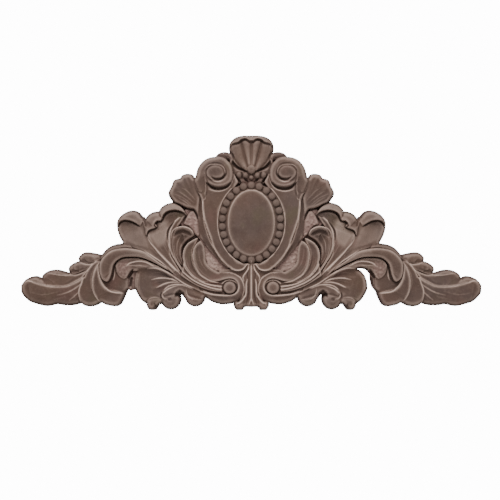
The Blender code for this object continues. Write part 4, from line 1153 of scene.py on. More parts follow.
@dataclass
class BasinLeaves(Carving):
    """Long leaves that sweep down to the button of the lower scroll."""

    rib: Line = (
        (107.5, -32, 33), (118, -37, 33), (127, -43.5, 33.5), (133.5, -53, 33.5), (135.5, -60, 34),
        (136.5, -70, 34), (134.5, -80, 34), (130.5, -90, 34), (124.5, -99, 34), (116.5, -108, 34),
        (106.5, -115, 33.5), (94.5, -121, 33.5), (78.5, -125.5, 33), (58.5, -128, 33))
    inner_rib: Line = (
        (101, -38, 31), (107.5, -42.5, 33), (113, -50, 33), (116, -59, 33), (116.5, -69, 33),
        (115, -79, 33), (112, -89, 33), (107, -99, 32), (100, -107, 31), (91, -113, 31.5), (80, -118, 32),
        (66, -120, 32))
    fold: Line = (
        (106, -34, 30), (109, -42, 28), (114, -51, 28), (117, -60, 28), (117, -70, 28), (115, -81, 28),
        (110, -93, 28), (102, -104, 29), (90, -112, 29), (74, -118, 30), (60, -122, 30))
    inner_edge: Line = (
        (99.5, -39, 30), (94, -48, 28), (92, -60, 28), (91, -72, 28), (89, -82, 28), (82, -91, 28),
        (72, -97, 28), (58, -101, 28), (46, -102, 28))
    stem: Line = (
        (140, -107, 32), (128, -115, 33), (113, -124, 33), (101, -130, 33), (87, -135, 33), (73, -138, 33),
        (58, -139, 32))
    stem_rib: Line = (
        (145.5, -87), (137.5, -98), (128.5, -106), (118.5, -114), (106.5, -121), (92.5, -127),
        (78.5, -131.5), (66.5, -134), (58.5, -135))
    cuts: tuple[Line, ...] = (
        ((140.5, -56), (141.5, -70), (138.5, -82), (132.5, -94), (124.5, -103.5), (112.5, -113),
         (96.5, -122), (78.5, -128.5), (60.5, -132)),
        ((119.5, -58), (120.5, -70), (118.5, -84), (113.5, -96), (104.5, -108)),
        ((150.5, -84), (142.5, -95), (132.5, -105.5), (118.5, -117), (102.5, -126), (82.5, -133.5),
         (60.5, -138)))
    faint_veins: tuple[Line, ...] = (
        ((110.5, -56), (110.5, -72), (106.5, -88), (96.5, -102), (82.5, -111)),
        ( (128.5, -64), (127.5, -80), (120.5, -96), (106.5, -109)),
        ((104.5, -48), (103.5, -68), (98.5, -84), (88.5, -98)))

    def carve(self, relief: Relief) -> None:
        """Lay both leaves and the stem below them, then their ribs.

        Args:
            relief: Grid that is carved.
        """
        relief.strip(self.rib[:12], self.fold, hollow=1.5, cut=0.35)
        relief.strip(self.inner_rib, self.inner_edge, hollow=2, rim=0.1, cut=0.3, fade=26)
        relief.strip(self.stem, self.rib[6:], hollow=1, cut=0.4)
        relief.crest(*ridges(self.faint_veins, 2.6, 0.28))
        relief.groove(*ridges(self.cuts, 2, 1.5))
        relief.crest(ridge(self.rib, 4, 3), ridge(self.inner_rib, 4, 2.5), ridge(self.inner_edge[1:], 3, 0.5),
                     ridge(self.stem_rib, 4, 3))


@dataclass
class Button(Carving):
    """Button in the middle of the lower scroll, with a ridge round it."""

    top: float = 35.0
    rise: float = 4.0
    place: Station = (43, -131)
    radius: float = 12.5
    ring: Line = (
        (102.5, -137), (92.5, -140.5), (78.5, -144), (58.5, -146), (42.5, -145.5), (32.5, -142.5),
        (26.5, -135.5), (25.5, -128), (29, -121), (36.5, -117), (44.5, -115.5), (52.5, -118), (58.5, -123))
    under_cut: Line = ((55.5, -138), (50.5, -142), (42.5, -144), (34.5, -141.5), (30.5, -137))

    def carve(self, relief: Relief) -> None:
        """Raise the ridge and set the button in it.

        Args:
            relief: Grid that is carved.
        """
        relief.crest(ridge(self.ring, 4, 3))
        relief.dome(self.place, (self.radius, self.radius), self.top, self.rise, power=0.25)
        relief.groove(ridge(self.under_cut, 2.5, 4))


@dataclass
class SmallRoll(Carving):
    """Small roll that looks out between the volute and the shell."""

    path: Line = (
        (69, 127, 4, 20), (62, 131, 6.5, 24), (52, 131.5, 8, 26), (44, 129, 7, 26), (38, 124, 6, 24))
    shade: Line = ((72, 126), (60, 120), (44, 118), (40, 127), (48, 140), (66, 136))

    def carve(self, relief: Relief) -> None:
        """Lay the roll and shade it where the shell overhangs it."""
        relief.roll(self.path, drop=6)
        relief.tint(self.shade, dark=1.0, rough=0.8, soft=5)


@dataclass
class Garland(Carving):
    """Row of small knobs between the shell and the medallion."""

    knob_rise: float = 7.0
    ground: Line = ((AXIS, 112), (26, 115), (37, 125), (44, 118), (40, 100), (34, 84), (24, 76), (AXIS, 74))
    knobs: Line = ((12, 92, 6.5), (24, 93, 6.5), (0, 88, 5))
    top: float = 31.0
    level: float = 25.0
    shade: Line = ((AXIS, 96), (14, 101), (32, 97), (32, 86), (12, 84), (AXIS, 82))
    pits: tuple[Line, ...] = (
        ((33, 92, 3, 4), (28, 86, 3.5, 6), (23, 80, 3.5, 7), (21, 77, 2, 3)),
        ((14, 87, 2, 3), (10.5, 83, 3.5, 7), (7, 80, 2, 3)),
        ((20, 99, 2.5, 2), (18, 93, 3, 4), (18, 87, 2.5, 2)))

    def carve(self, relief: Relief) -> None:
        """Lay the ground of the row, its knobs and the cuts beside them.

        Args:
            relief: Grid that is carved.
        """
        relief.crown(closed(self.ground), self.level, drop=2, shoulder=4, cut=0.3)
        for x, z, radius in self.knobs:
            relief.dome((x, z), (radius, radius), self.top, self.knob_rise)
        relief.tint(self.shade, dark=0.5)
        relief.groove(*self.pits)


@dataclass
class MedallionFrame(Carving):
    """Hollow moulding round the medallion, its outer edge running on from the volute's stem."""

    cut_offset: Station = (5, -1)
    hollow: float = 1.6
    edge: Line = (
        (112, 80, 28), (104, 54, 31), (99, 42, 32), (97, 30, 33), (95, 14, 34), (92, -1, 34), (84, -26, 34),
        (76, -48, 34), (64, -69, 34), (51, -84, 34), (39, -94, 34), (27, -98, 34), (16, -95, 33),
        (9, -86, 32))
    inner: Line = (
        (34, 96, 29), (30, 87, 29), (26, 79, 29), (31, 71, 29), (41, 61, 29), (50, 50, 29), (57, 40, 29),
        (62, 29, 29), (65, 16, 30), (65.5, -1, 30), (63.5, -24, 30), (56, -42, 30), (45, -60, 30),
        (31, -74, 30), (19, -81, 30), (9, -85, 30))
    flank: Line = (
        (102, 50, 26), (104, 34, 24), (105, 18, 24), (105.5, 2, 24), (105, -14, 24), (101, -32, 24),
        (89, -50, 24), (76, -65, 24), (62, -80, 26), (48, -92, 27))
    flank_top: Line = (
        (96, 50, 33), (94, 28, 33), (93, 2, 33), (87, -20, 33), (79, -42, 33), (66, -62, 33), (53, -78, 33),
        (40, -90, 33))
    crest_line: Line = (
        (96, 44), (97, 30), (95, 14), (92, -1), (84, -26), (76, -48), (64, -69), (51, -84), (39, -94),
        (27, -97), (16, -94), (8, -84))

    def carve(self, relief: Relief) -> None:
        """Lay the outer flank, the hollow face and the ridge between them.

        Args:
            relief: Grid that is carved.
        """
        relief.strip(self.flank, self.flank_top, hollow=1, rim=0.0, cut=0.25)
        relief.strip(self.edge, self.inner, hollow=self.hollow)
        relief.crest(ridge(self.crest_line, 4, 3))
        out, up = self.cut_offset
        relief.groove(ridge(tuple((x + out, z + up) for x, z in self.crest_line[2:9]), 1.8, 0.5))


@dataclass
class Volute(Carving):
    """Volute wound up from a hollow stem: a nearly flat band and eye, parted by a spiral cut."""

    mound_radii: Station = (26, 26)
    mound_top: float = 34.0
    eye_top: float = 36.5
    eye: Station = (71.5, 97)
    eye_radii: Station = (17.5, 14.5)
    stem: Line = (
        (94, 46, 3, 33), (95, 52, 5, 32), (98, 60, 8.5, 32), (100, 70, 10.5, 32), (101, 80, 11, 32),
        (101, 90, 10, 33))
    turn: Line = (
        (99, 64, 8, 30), (101, 76, 10.5, 31), (101, 84, 10, 32.5), (100.5, 93, 9.5, 35), (98, 104, 9, 36),
        (91, 115, 8, 37), (81, 121, 7.5, 37), (69, 122.5, 7, 37), (56, 119, 7.5, 37), (47, 108, 8, 37),
        (44.5, 95, 8, 37), (47, 83, 8, 37), (56, 75, 7.5, 36), (67.5, 72, 7, 35), (78, 76, 5.5, 34),
        (84, 83, 4.5, 33), (86, 91, 3.5, 33), (85, 98, 3, 33))
    spiral: Line = (
        (41.5, 77, 2.5, 3), (50.5, 69.5, 4.5, 7), (64.5, 66.5, 5, 8), (76.5, 68.5, 5, 8), (84, 74, 3.5, 4),
        (88, 80, 2, 1), (91, 91, 1.5, 0.3), (91.5, 101, 2, 1), (87.5, 110.5, 2, 1), (79.5, 115.5, 2, 1),
        (68.5, 117, 2, 1), (58.5, 114, 2, 1), (52, 105, 2, 1), (50.5, 95, 3, 3), (57.5, 86.5, 4, 6),
        (65.5, 84.5, 4, 6), (72.5, 85, 3.5, 5), (78.5, 88.5, 2, 1.5))
    pale_lines: tuple[Line, ...] = (
        ((91.5, 89), (92, 98), (89.5, 107.5), (82, 113), (69, 114), (59.5, 111.5), (53, 103.5), (52, 93.5),
         (55.5, 85), (63.5, 80), (73.5, 80.5), (80.5, 85.5)),
        ((84.5, 65), (74.5, 62), (64.5, 61), (52.5, 64), (44, 70), (38.5, 78), (34.5, 90)))
    stem_cuts: tuple[Line, ...] = (
        ((111, 76), (108.5, 64), (102.5, 52), (96.5, 41)),
        ((88, 62), (89.5, 55), (93, 47)))
    eye_shade: Line = ((88, 100), (82, 110), (64, 111), (56, 102), (58, 90), (72, 86), (84, 90))

    def carve(self, relief: Relief) -> None:
        """Lay the stem, the turning band and the eye, then cut the spiral.

        Args:
            relief: Grid that is carved.
        """
        relief.channel(self.stem, hollow=2.5)
        relief.dome(self.eye, self.mound_radii, self.mound_top, 2)
        relief.band(self.turn, drop=3, fall=1.5)
        relief.dome(self.eye, self.eye_radii, self.eye_top, 1.5, power=0.3)
        relief.crest(*ridges(self.pale_lines, 3, 1))
        relief.groove(self.spiral, *ridges(self.stem_cuts, 2.6, 2))
        relief.tint(self.eye_shade, dark=0.2)


@dataclass
class Shell(Carving):
    """Fluted shell at the head, its rim rolled forward in scallops, with a knob at its foot."""

    knob_radii: Station = (8.5, 8.5)
    knob_top: float = 34.0
    knob_rise: float = 5.0
    knob: Station = (0, 104)
    rim_shade: Line = (
        (46, 150), (38, 153), (31, 155), (25, 157), (21, 161), (15, 163), (9, 162.5), (4, 159), (AXIS, 159),
        (AXIS, 177), (46, 177))
    valleys: tuple[Line, ...] = (
        ((AXIS, 102, 25), (AXIS, 130, 24), (AXIS, 164, 26)),
        ((5, 102, 25), (12, 128, 24), (21, 163, 26)),
        ((12, 101, 22), (32, 120, 22), (43, 150, 22)))
    rim: Line = (
        (43.8, 151, 22), (42, 158, 22), (38, 163, 22), (30, 169, 22), (19, 171.8, 22), (8, 172.8, 22),
        (AXIS, 173, 22))
    scallops: Line = (
        (41.5, 150, 25), (37, 155, 31), (31, 157, 33), (25, 159, 34), (21, 163, 35), (15, 165, 36),
        (9, 164.5, 36), (4, 161, 36), (AXIS, 161, 36))
    crescent: Line = (
        (38, 121, 2, 3), (36, 116, 4.5, 7), (29, 109, 4.5, 8), (21, 104.5, 4, 7), (13, 101, 3, 4))
    cuts: tuple[Line, ...] = (((43.5, 140), (37.5, 134), (34.5, 127)),)
    undercut: Line = (
        (36, 152), (33, 154), (26, 156), (21, 160), (15, 162), (9, 161.5), (4, 158), (AXIS, 158))
    level: float = 25.0
    border: tuple[Line, ...] = (
        ((AXIS, 173), (19, 171.5), (30, 169), (38, 163), (43, 155), (44, 143), (40, 134)),
        ((40, 134), (37, 126), (36, 118), (30, 110), (21, 104), (11, 100), (AXIS, 98)),
        ((AXIS, 98), (AXIS, 173)))
    knob_shade: Line = ((AXIS, 111), (6, 109), (7.5, 103), (5, 98), (AXIS, 97))

    def carve(self, relief: Relief) -> None:
        """Lay the shell, its bulging ribs and its rim, then the cuts below them.

        Args:
            relief: Grid that is carved.
        """
        relief.crown(outline(*self.border), self.level, drop=4, shoulder=5, tilt=(0.0, 0.04))
        for left, right in zip(self.valleys, self.valleys[1:]):
            relief.strip(left, right, hollow=-5)
        relief.strip(self.rim, self.scallops, hollow=-3)
        relief.tint(self.rim_shade, dark=0.32, soft=4)
        relief.groove(self.crescent, ridge(self.cuts[0], 3, 4), ridge(self.undercut, 2.5, 2.5))
        relief.dome(self.knob, self.knob_radii, self.knob_top, self.knob_rise, power=0.35, cut=0.3)
        relief.tint(self.knob_shade, dark=0.45, soft=3)


@dataclass
class Medallion(Carving):
    """Oval boss in its ring of beads."""

    ground_top: float = 30.0
    ground_margin: Station = (10, 5)
    oval_top: float = 33.5
    oval_rise: float = 3.0
    bead_top: float = 34.0
    bead_rise: float = 6.0
    middle: Station = (0, -1.6)
    oval_radii: Station = (46.0, 65.0)
    ring_radii: Station = (58.0, 74.0)
    beads: int = 26
    bead_radius: float = 7.9
    bead_shade: float = 0.74

    def carve(self, relief: Relief) -> None:
        """Lay the raised ground, the groove for the beads, the boss and the beads.

        Args:
            relief: Grid that is carved.
        """
        wide, high = (radius + more for radius, more in zip(self.ring_radii, self.ground_margin))
        relief.dome(self.middle, (wide, high), self.ground_top, 1, power=0.3, cut=0.0)
        relief.groove(self.arc(0, pi / 2, 37, 9, 3.6))
        relief.dome(self.middle, self.oval_radii, self.oval_top, self.oval_rise, power=0.22, cut=0.6)
        relief.ring(self.middle, (self.oval_radii[0] - 0.2, self.oval_radii[1] - 0.2), 0.7)
        relief.crest(self.arc(9, 0.95, 33, 2.2, 1.3))
        radii = (self.bead_radius, self.bead_radius)
        for place in self.bead_places():
            relief.dome(place, radii, self.bead_top, self.bead_rise, power=0.35)
            win = relief.window(np.array([place]), self.bead_radius)
            spread = np.hypot(relief.x[win] - place[0], relief.z[win] - place[1]) / self.bead_radius
            shade = self.bead_shade * (0.75 + 0.25 * spread ** 2) * (spread < 1)
            relief.dark[win] = np.maximum(relief.dark[win], shade)

    def arc(self, out: float, end: float, count: int, half: float, amount: float) -> Line:
        """Stations along an oval round the ring's middle, from its foot upward.

        Args:
            out: How far outside the ring of beads it runs.
            end: Angle where it ends, in radians above the horizontal.
            count: Number of stations.
            half: Half width at each of them.
            amount: Rise or depth at each of them.

        Returns:
            The stations.
        """
        wide, high = self.ring_radii[0] + out, self.ring_radii[1] + out
        return tuple((wide * cos(turn), self.middle[1] + high * sin(turn), half, amount)
                     for turn in np.linspace(-pi / 2, end, count))

    def bead_places(self) -> list[Station]:
        """Find the places of the beads, evenly along the ring.

        Returns:
            Those of this half, with the ones on the middle line.
        """
        turn = np.linspace(pi / 2, pi / 2 + 2 * pi, 721)
        x = self.ring_radii[0] * np.cos(turn)
        z = self.middle[1] + self.ring_radii[1] * np.sin(turn)
        run = np.concatenate([[0.0], np.cumsum(np.hypot(np.diff(x), np.diff(z)))])
        marks = run[-1] * np.arange(self.beads) / self.beads
        places = zip(np.interp(marks, run, x), np.interp(marks, run, z))
        return [place for place in places if place[0] > -self.bead_radius]


@dataclass
class Palmette(Carving):
    """Fan of narrow leaves under the medallion, with two small feet."""

    level: float = 29.0
    border: Line = (
        (AXIS, -80), (6, -90), (15, -103), (18, -109), (14, -122), (13, -136), (15, -148), (22, -158),
        (34, -160), (34, -167), (31, -174), (25, -176.3), (18, -175.5), (13, -169.5), (AXIS, -169.5))
    foot: Line = ((30, -166, 5, 28), (23.5, -167, 8.5, 31), (19, -160, 6, 31), (15, -150, 4, 30))
    centre_rib: Line = ((0, -84), (0, -100), (0, -120), (0, -140), (0, -152), (2, -158))
    veins: tuple[Line, ...] = (
        ((4.5, -84), (5.5, -90), (7.5, -96), (11.5, -101.5), (16.5, -109), (15, -118)),
        ((8, -114), (10, -124), (10.5, -132), (10.5, -140), (12.5, -148), (16.5, -154), (22.5, -160),
         (29.5, -163)),
        ((1.5, -154), (3, -160), (6, -167)))
    cuts: tuple[Line, ...] = (
        ((5.5, -116), (5.5, -132), (6, -144), (8, -156), (11.5, -166)),
        ((6.5, -97), (8, -106), (6.5, -114)))

    def carve(self, relief: Relief) -> None:
        """Lay the stem, its foot, the leaves' ribs and the cuts between them.

        Args:
            relief: Grid that is carved.
        """
        relief.crown(closed(self.border), self.level, drop=3, shoulder=4, cut=0.25)
        relief.roll(self.foot, drop=5)
        relief.groove(*ridges(self.cuts, 2.2, 2))
        relief.crest(ridge(self.centre_rib, 4.5, 3),
                     ridge(self.veins[0], 3.5, 2), ridge(self.veins[1], 3.5, 2.5),
                     ridge(self.veins[2], 3, 1.5))


@dataclass
class CrestPanel:
    """The whole carved piece."""

    pitch: float = 1.0
    edge_thickness: float = 8.0
    edge_round: float = 8.0
    top: float = 38.9
    growth: float = 0.9
    edge_shade: float = 0.15
    lower_edge_shade: float = 0.8
    reach: Station = (460.7, -176.5, 173.1)
    face_budget: int = 190000
    smoothing: float = 0.25
    look_reaches: tuple[int, int] = (2, 7)
    crest_rise: float = 0.7
    hollow_start: float = 0.6
    hollow_depth: float = 4.0
    stipple_height: float = 0.7
    unevenness: tuple[tuple[int, float], ...] = ((1, 0.03), (5, 0.15), (13, 0.30))
    gap: Line = (
        (208, -93), (219, -92), (230, -95), (237, -103), (238, -115), (241, -128), (251, -141), (244, -152),
        (229, -146), (232, -132), (231, -120), (227, -108), (219, -98))

    def groups(self) -> tuple[Carving, ...]:
        """Groups of the carving, from the ground up."""
        return (Ground(), Wing(), UnderLeaf(), FanLeaf(), Hooks(), TallLobe(), Arch(), BigLeaf(),
                SideFan(), CurledLeaf(), LowerScroll(), BasinLeaves(), Button(), SmallRoll(), Garland(),
                MedallionFrame(), Volute(), Shell(), Medallion(), Palmette())

    def carve_half(self, side: Side) -> Relief:
        """Carve one half.

        Args:
            side: Which half.

        Returns:
            The finished relief of that half.
        """
        relief = Relief(self.pitch)
        for group in self.groups():
            group.carve(relief)
        if side is Side.RIGHT:
            self.open_gap(relief)
        return relief

    def open_gap(self, relief: Relief) -> None:
        """Cut the gap that is open on the right half only.

        Args:
            relief: Grid of the right half.
        """
        border = outline(*zip(self.gap, self.gap[1:] + self.gap[:1]))
        win, into, _ = relief.area(border, 8.0)
        relief.cover[win] = np.minimum(relief.cover[win], -into)

    def carve(self) -> None:
        """Carve both halves and join them in one field, then finish its surface."""
        left, right = self.carve_half(Side.LEFT), self.carve_half(Side.RIGHT)
        left.x = -left.x
        self.x, self.z, self.cover, self.rough, self.pale, self.dark, self.height = (
            np.hstack([getattr(left, name)[:, :0:-1], getattr(right, name)])
            for name in ("x", "z", "cover", "rough", "pale", "dark", "height"))
        side, foot, head = self.reach
        self.cover = np.minimum.reduce([self.cover + self.growth, side - np.abs(self.x),
                                        self.z - foot, head - self.z])
        weight = self.cover > 0
        self.height = np.where(self.height > 0, self.height, self.edge_thickness)
        self.height = (1 - self.smoothing) * self.height + self.smoothing * blurred(self.height, weight, 1)
        self.height += self.tool_marks()
        self.height = np.minimum(self.height, self.top)
        self.round_edges()
        near, far = (blurred(self.height, weight, reach) for reach in self.look_reaches)
        # How far each point stands above its surroundings, for pale wear and painted highlight, and how far
        # it is sunk below them, for painted shade.
        self.crest = np.clip((self.height - near) / self.crest_rise, 0, 1)
        self.sunk = np.clip((far - self.height - self.hollow_start) / self.hollow_depth, 0, 1)

    def tool_marks(self) -> np.ndarray:
        """Unevenness of the hand-finished surface, and the stipple of the ground, in millimetres.

        Returns:
            Height to add at each grid point.
        """
        random = np.random.default_rng(7)
        everywhere = np.ones(self.x.shape)
        marks = np.zeros(self.x.shape)
        for reach, amount in self.unevenness:
            field = blurred(random.standard_normal(self.x.shape), everywhere, reach)
            marks += amount * field / field.std()
        grain = blurred(random.standard_normal(self.x.shape), everywhere, 1)
        return marks + self.rough * np.clip(grain / grain.std(), -1.5, 1.5) * self.stipple_height

    def border_points(self) -> np.ndarray:
        """Places where the outline crosses the lines of the grid.

        Returns:
            One row for each crossing.
        """
        places = []
        for first, second in (((slice(None), slice(None, -1)), (slice(None), slice(1, None))),
                              ((slice(None, -1), slice(None)), (slice(1, None), slice(None)))):
            a, b = self.cover[first], self.cover[second]
            crossed = (a > 0) != (b > 0)
            share = a[crossed] / (a[crossed] - b[crossed])
            places.append(np.column_stack([
                field[first][crossed] + share * (field[second] - field[first])[crossed]
                for field in (self.x, self.z)]))
        return np.vstack(places)

    def round_edges(self) -> None:
        """Let the carving fall to the edge thickness all along the outline, and paint shade along it, more
        where the edge faces down.
        """
        away = np.full(self.x.shape, self.edge_round)
        reach = int(self.edge_round / self.pitch) + 1
        for px, pz in self.border_points():
            i = int((px - self.x[0, 0]) / self.pitch)
            j = int((pz - self.z[0, 0]) / self.pitch)
            near = (slice(max(0, j - reach), j + reach + 2), slice(max(0, i - reach), i + reach + 2))
            away[near] = np.minimum(away[near], np.hypot(self.x[near] - px, self.z[near] - pz))
        rise = np.sqrt(1 - (1 - away / self.edge_round) ** 2)
        self.height = self.edge_thickness + (np.maximum(self.height, self.edge_thickness + 1)
                                             - self.edge_thickness) * rise
        facing_down = np.clip(np.gradient(self.height, self.pitch, axis=0) / 2, 0, 1)
        edge = self.edge_shade * np.clip(1.2 - away / 4.0, 0, 1)
        below = self.lower_edge_shade * facing_down * np.clip(1.3 - away / 5.0, 0, 1)
        self.dark = np.maximum(self.dark, edge + below)

    def closed_mesh(self) -> bpy.types.Mesh:
        """Mesh of the front over the outline, the flat back and the edge between them.

        Returns:
            The mesh, not yet thinned out.
        """
        on = self.cover > 0
        count = int(on.sum())
        index = np.full(on.shape, -1)
        index[on] = np.arange(count)
        front = [(x, -y, z) for x, y, z in zip(self.x[on] * MM, self.height[on] * MM, self.z[on] * MM)]
        quads = np.stack([index[:-1, :-1], index[:-1, 1:], index[1:, 1:], index[1:, :-1]], axis=-1)
        whole = quads.min(axis=-1) >= 0
        rings: list[list[int]] = [list(map(int, quad)) for quad in quads[whole]]
        crossings: dict[tuple[int, int, int], int] = {}
        walls: list[tuple[int, int]] = []
        for j, i in zip(*np.where((quads.max(axis=-1) >= 0) & ~whole)):
            rings.append(self.cut_cell(int(j), int(i), index, front, crossings, walls))
        total = len(front)
        places = front + [(x, 0.0, z) for x, _, z in front]
        faces = rings + [[k + total for k in reversed(ring)] for ring in rings]
        faces += [[a, a + total, b + total, b] for a, b in walls]
        mesh = bpy.data.meshes.new("relief_front")
        mesh.from_pydata(places, [], faces)
        return mesh

    def cut_cell(self, j: int, i: int, index: np.ndarray, front: list[tuple[float, float, float]],
                 crossings: dict[tuple[int, int, int], int], walls: list[tuple[int, int]]) -> list[int]:
        """Corner loop of a cell that the outline cuts.

        Args:
            j: Row of the cell.
            i: Column of the cell.
            index: Number of each grid point's corner, or -1.
            front: Corners so far, to which the crossings are added.
            crossings: Numbers of the crossings made before.
            walls: Pairs of crossings between which the edge stands.

        Returns:
            Numbers of the loop's corners.
        """
        cell = ((j, i), (j, i + 1), (j + 1, i + 1), (j + 1, i))
        ring: list[int] = []
        leaving = entering = -1
        for k, here in enumerate(cell):
            after = cell[(k + 1) % 4]
            if index[here] >= 0:
                ring.append(int(index[here]))
            if (index[here] >= 0) != (index[after] >= 0):
                first, second = sorted((here, after))
                key = (*first, int(first[0] != second[0]))
                if key not in crossings:
                    a, b = self.cover[first], self.cover[second]
                    share = float(np.clip(a / (a - b), 0.08, 0.92))
                    x, z = (field[first] + share * (field[second] - field[first])
                            for field in (self.x, self.z))
                    crossings[key] = len(front)
                    front.append((x * MM, -self.edge_thickness * MM, z * MM))
                ring.append(crossings[key])
                if index[here] >= 0:
                    leaving = crossings[key]
                else:
                    entering = crossings[key]
                if leaving >= 0 and entering >= 0:
                    walls.append((leaving, entering))
                    leaving = entering = -1
        return ring

    def build(self) -> bpy.types.Object:
        """Make the panel's mesh, with fewer faces where it is flat, and its surface values.

        Returns:
            The finished object.
        """
        self.carve()
        rough = bpy.data.objects.new("relief_draft", self.closed_mesh())
        bpy.context.scene.collection.objects.link(rough)
        triangles = sum(len(face.vertices) - 2 for face in rough.data.polygons)
        log.info("draft of the relief: %d triangles", triangles)
        fewer = rough.modifiers.new("fewer_faces", "DECIMATE")
        fewer.ratio = min(1.0, self.face_budget / triangles)
        bpy.context.view_layer.update()
        graph = bpy.context.evaluated_depsgraph_get()
        mesh = bpy.data.meshes.new_from_object(rough.evaluated_get(graph))
        bpy.data.objects.remove(rough)
        mesh.name = "carved_crest"
        piece = bpy.data.objects.new("carved_crest", mesh)
        bpy.context.scene.collection.objects.link(piece)
        self.sharpen_back(mesh)
        self.store_values(mesh)
        log.info("carved crest: %d triangles", len(mesh.polygons))
        return piece

    def sharpen_back(self, mesh: bpy.types.Mesh) -> None:
        """Shade the mesh smooth, with a sharp edge round the flat back.

        Args:
            mesh: Mesh of the panel.
        """
        mesh.shade_smooth()
        shape = bmesh.new()
        shape.from_mesh(mesh)
        for edge in shape.edges:
            on_back = all(corner.co.y > -1e-4 for corner in edge.verts)
            edge.smooth = not (on_back and len(edge.link_faces) == 2 and edge.calc_face_angle() > 1.0)
        shape.to_mesh(mesh)
        shape.free()

    def store_values(self, mesh: bpy.types.Mesh) -> None:
        """Store at each corner of the front how far it is a crest, sunk, rough, pale and dark.

        Args:
            mesh: Mesh of the panel.
        """
        places = np.empty(len(mesh.vertices) * 3)
        mesh.vertices.foreach_get("co", places)
        places = places.reshape(-1, 3) / MM
        column = (places[:, 0] - self.x[0, 0]) / self.pitch
        row = (places[:, 2] - self.z[0, 0]) / self.pitch
        for name in STORED:
            values = np.where(places[:, 1] < -1.0, self.sample(getattr(self, name), row, column), 0.0)
            layer = mesh.attributes.new(name, "FLOAT", "POINT")
            layer.data.foreach_set("value", values.astype(np.float32))

    def sample(self, field: np.ndarray, row: np.ndarray, column: np.ndarray) -> np.ndarray:
        """Read a field between its grid points.

        Args:
            field: Field on the grid.
            row: Rows to read at, in fractions.
            column: Columns to read at, in fractions.

        Returns:
            The values there.
        """
        j = np.clip(row.astype(int), 0, field.shape[0] - 2)
        i = np.clip(column.astype(int), 0, field.shape[1] - 2)
        v, u = row - j, column - i
        low = field[j, i] * (1 - u) + field[j, i + 1] * u
        high = field[j + 1, i] * (1 - u) + field[j + 1, i + 1] * u
        return low * (1 - v) + high * v


Operand = "Sock | float"


class Sock:
    """One output of a shader, on which arithmetic can be written."""

    def __init__(self, graph: "ShaderGraph", socket: bpy.types.NodeSocket) -> None:
        """Hold the socket and the graph that it belongs to."""
        self.graph, self.socket = graph, socket

    def math(self, operation: str, *values: Operand, clamp: bool = False) -> "Sock":
        """Add a Math node whose first values are given, in order."""
        return self.graph.node("ShaderNodeMath", {"operation": operation, "use_clamp": clamp},
                               dict(enumerate(values)))

    def __add__(self, other: Operand) -> "Sock":
        """Sum."""
        return self.math("ADD", self, other)

    __radd__ = __add__

    def __sub__(self, other: Operand) -> "Sock":
        """Difference."""
        return self.math("SUBTRACT", self, other)

    def __rsub__(self, other: Operand) -> "Sock":
        """Difference from a number."""
        return self.math("SUBTRACT", other, self)

    def __mul__(self, other: Operand) -> "Sock":
        """Product."""
        return self.math("MULTIPLY", self, other)

    __rmul__ = __mul__

    def __pow__(self, power: float) -> "Sock":
        """Power."""
        return self.math("POWER", self, power)

    def clamped(self) -> "Sock":
        """The value kept from 0 to 1."""
        return self.math("ADD", self, 0.0, clamp=True)


class ShaderGraph:
    """The nodes of one material, or of the world."""

    def __init__(self, owner: bpy.types.Material | bpy.types.World, shader: str = "Principled BSDF") -> None:
        """Start with a bare shader.

        Args:
            owner: What the nodes belong to.
            shader: Name of its shader node.
        """
        self.owner = owner
        owner.use_nodes = True
        self.tree = owner.node_tree
        self.shader = self.tree.nodes[shader]

    def node(self, kind: str, settings: dict[str, object], inputs: dict[object, object],
             output: int | str = 0) -> Sock:
        """Add one node.

        Args:
            kind: Type of the node.
            settings: Its settings.
            inputs: Values or links for its sockets, by name or number.
            output: Which output to return.

        Returns:
            That output.
        """
        made = self.tree.nodes.new(kind)
        for name, value in settings.items():
            setattr(made, name, value)
        for name, value in inputs.items():
            self.feed(made.inputs[name], value)
        return Sock(self, made.outputs[output])

    def feed(self, socket: bpy.types.NodeSocket, value: object) -> None:
        """Link a socket, or set its value.

        Args:
            socket: Socket of a node.
            value: An output to link, or a plain value.
        """
        if isinstance(value, Sock):
            self.tree.links.new(value.socket, socket)
        else:
            socket.default_value = value

    def mix(self, factor: Operand, first: object, second: object) -> Sock:
        """Blend from the first colour to the second."""
        return self.node("ShaderNodeMix", {"data_type": "RGBA"}, {0: factor, 6: first, 7: second}, 2)

    def noise(self, place: Sock, scale: float, detail: float = 3.0, roughness: float = 0.55) -> Sock:
        """Noise value at a place."""
        inputs = {"Vector": place, "Scale": scale, "Detail": detail, "Roughness": roughness}
        return self.node("ShaderNodeTexNoise", {}, inputs, "Fac")

    def spread(self, value: Sock, low: float, high: float) -> Sock:
        """Stretch a value so that low becomes 0 and high becomes 1."""
        return self.node("ShaderNodeMapRange", {}, {"Value": value, "From Min": low, "From Max": high})

    def stored(self, name: str) -> Sock:
        """Value stored at the mesh's corners."""
        return self.node("ShaderNodeAttribute", {"attribute_name": name}, {}, "Fac")


def colour(tone: Tone) -> tuple[float, float, float, float]:
    """Colour with full opacity."""
    return (*tone.value, 1.0)


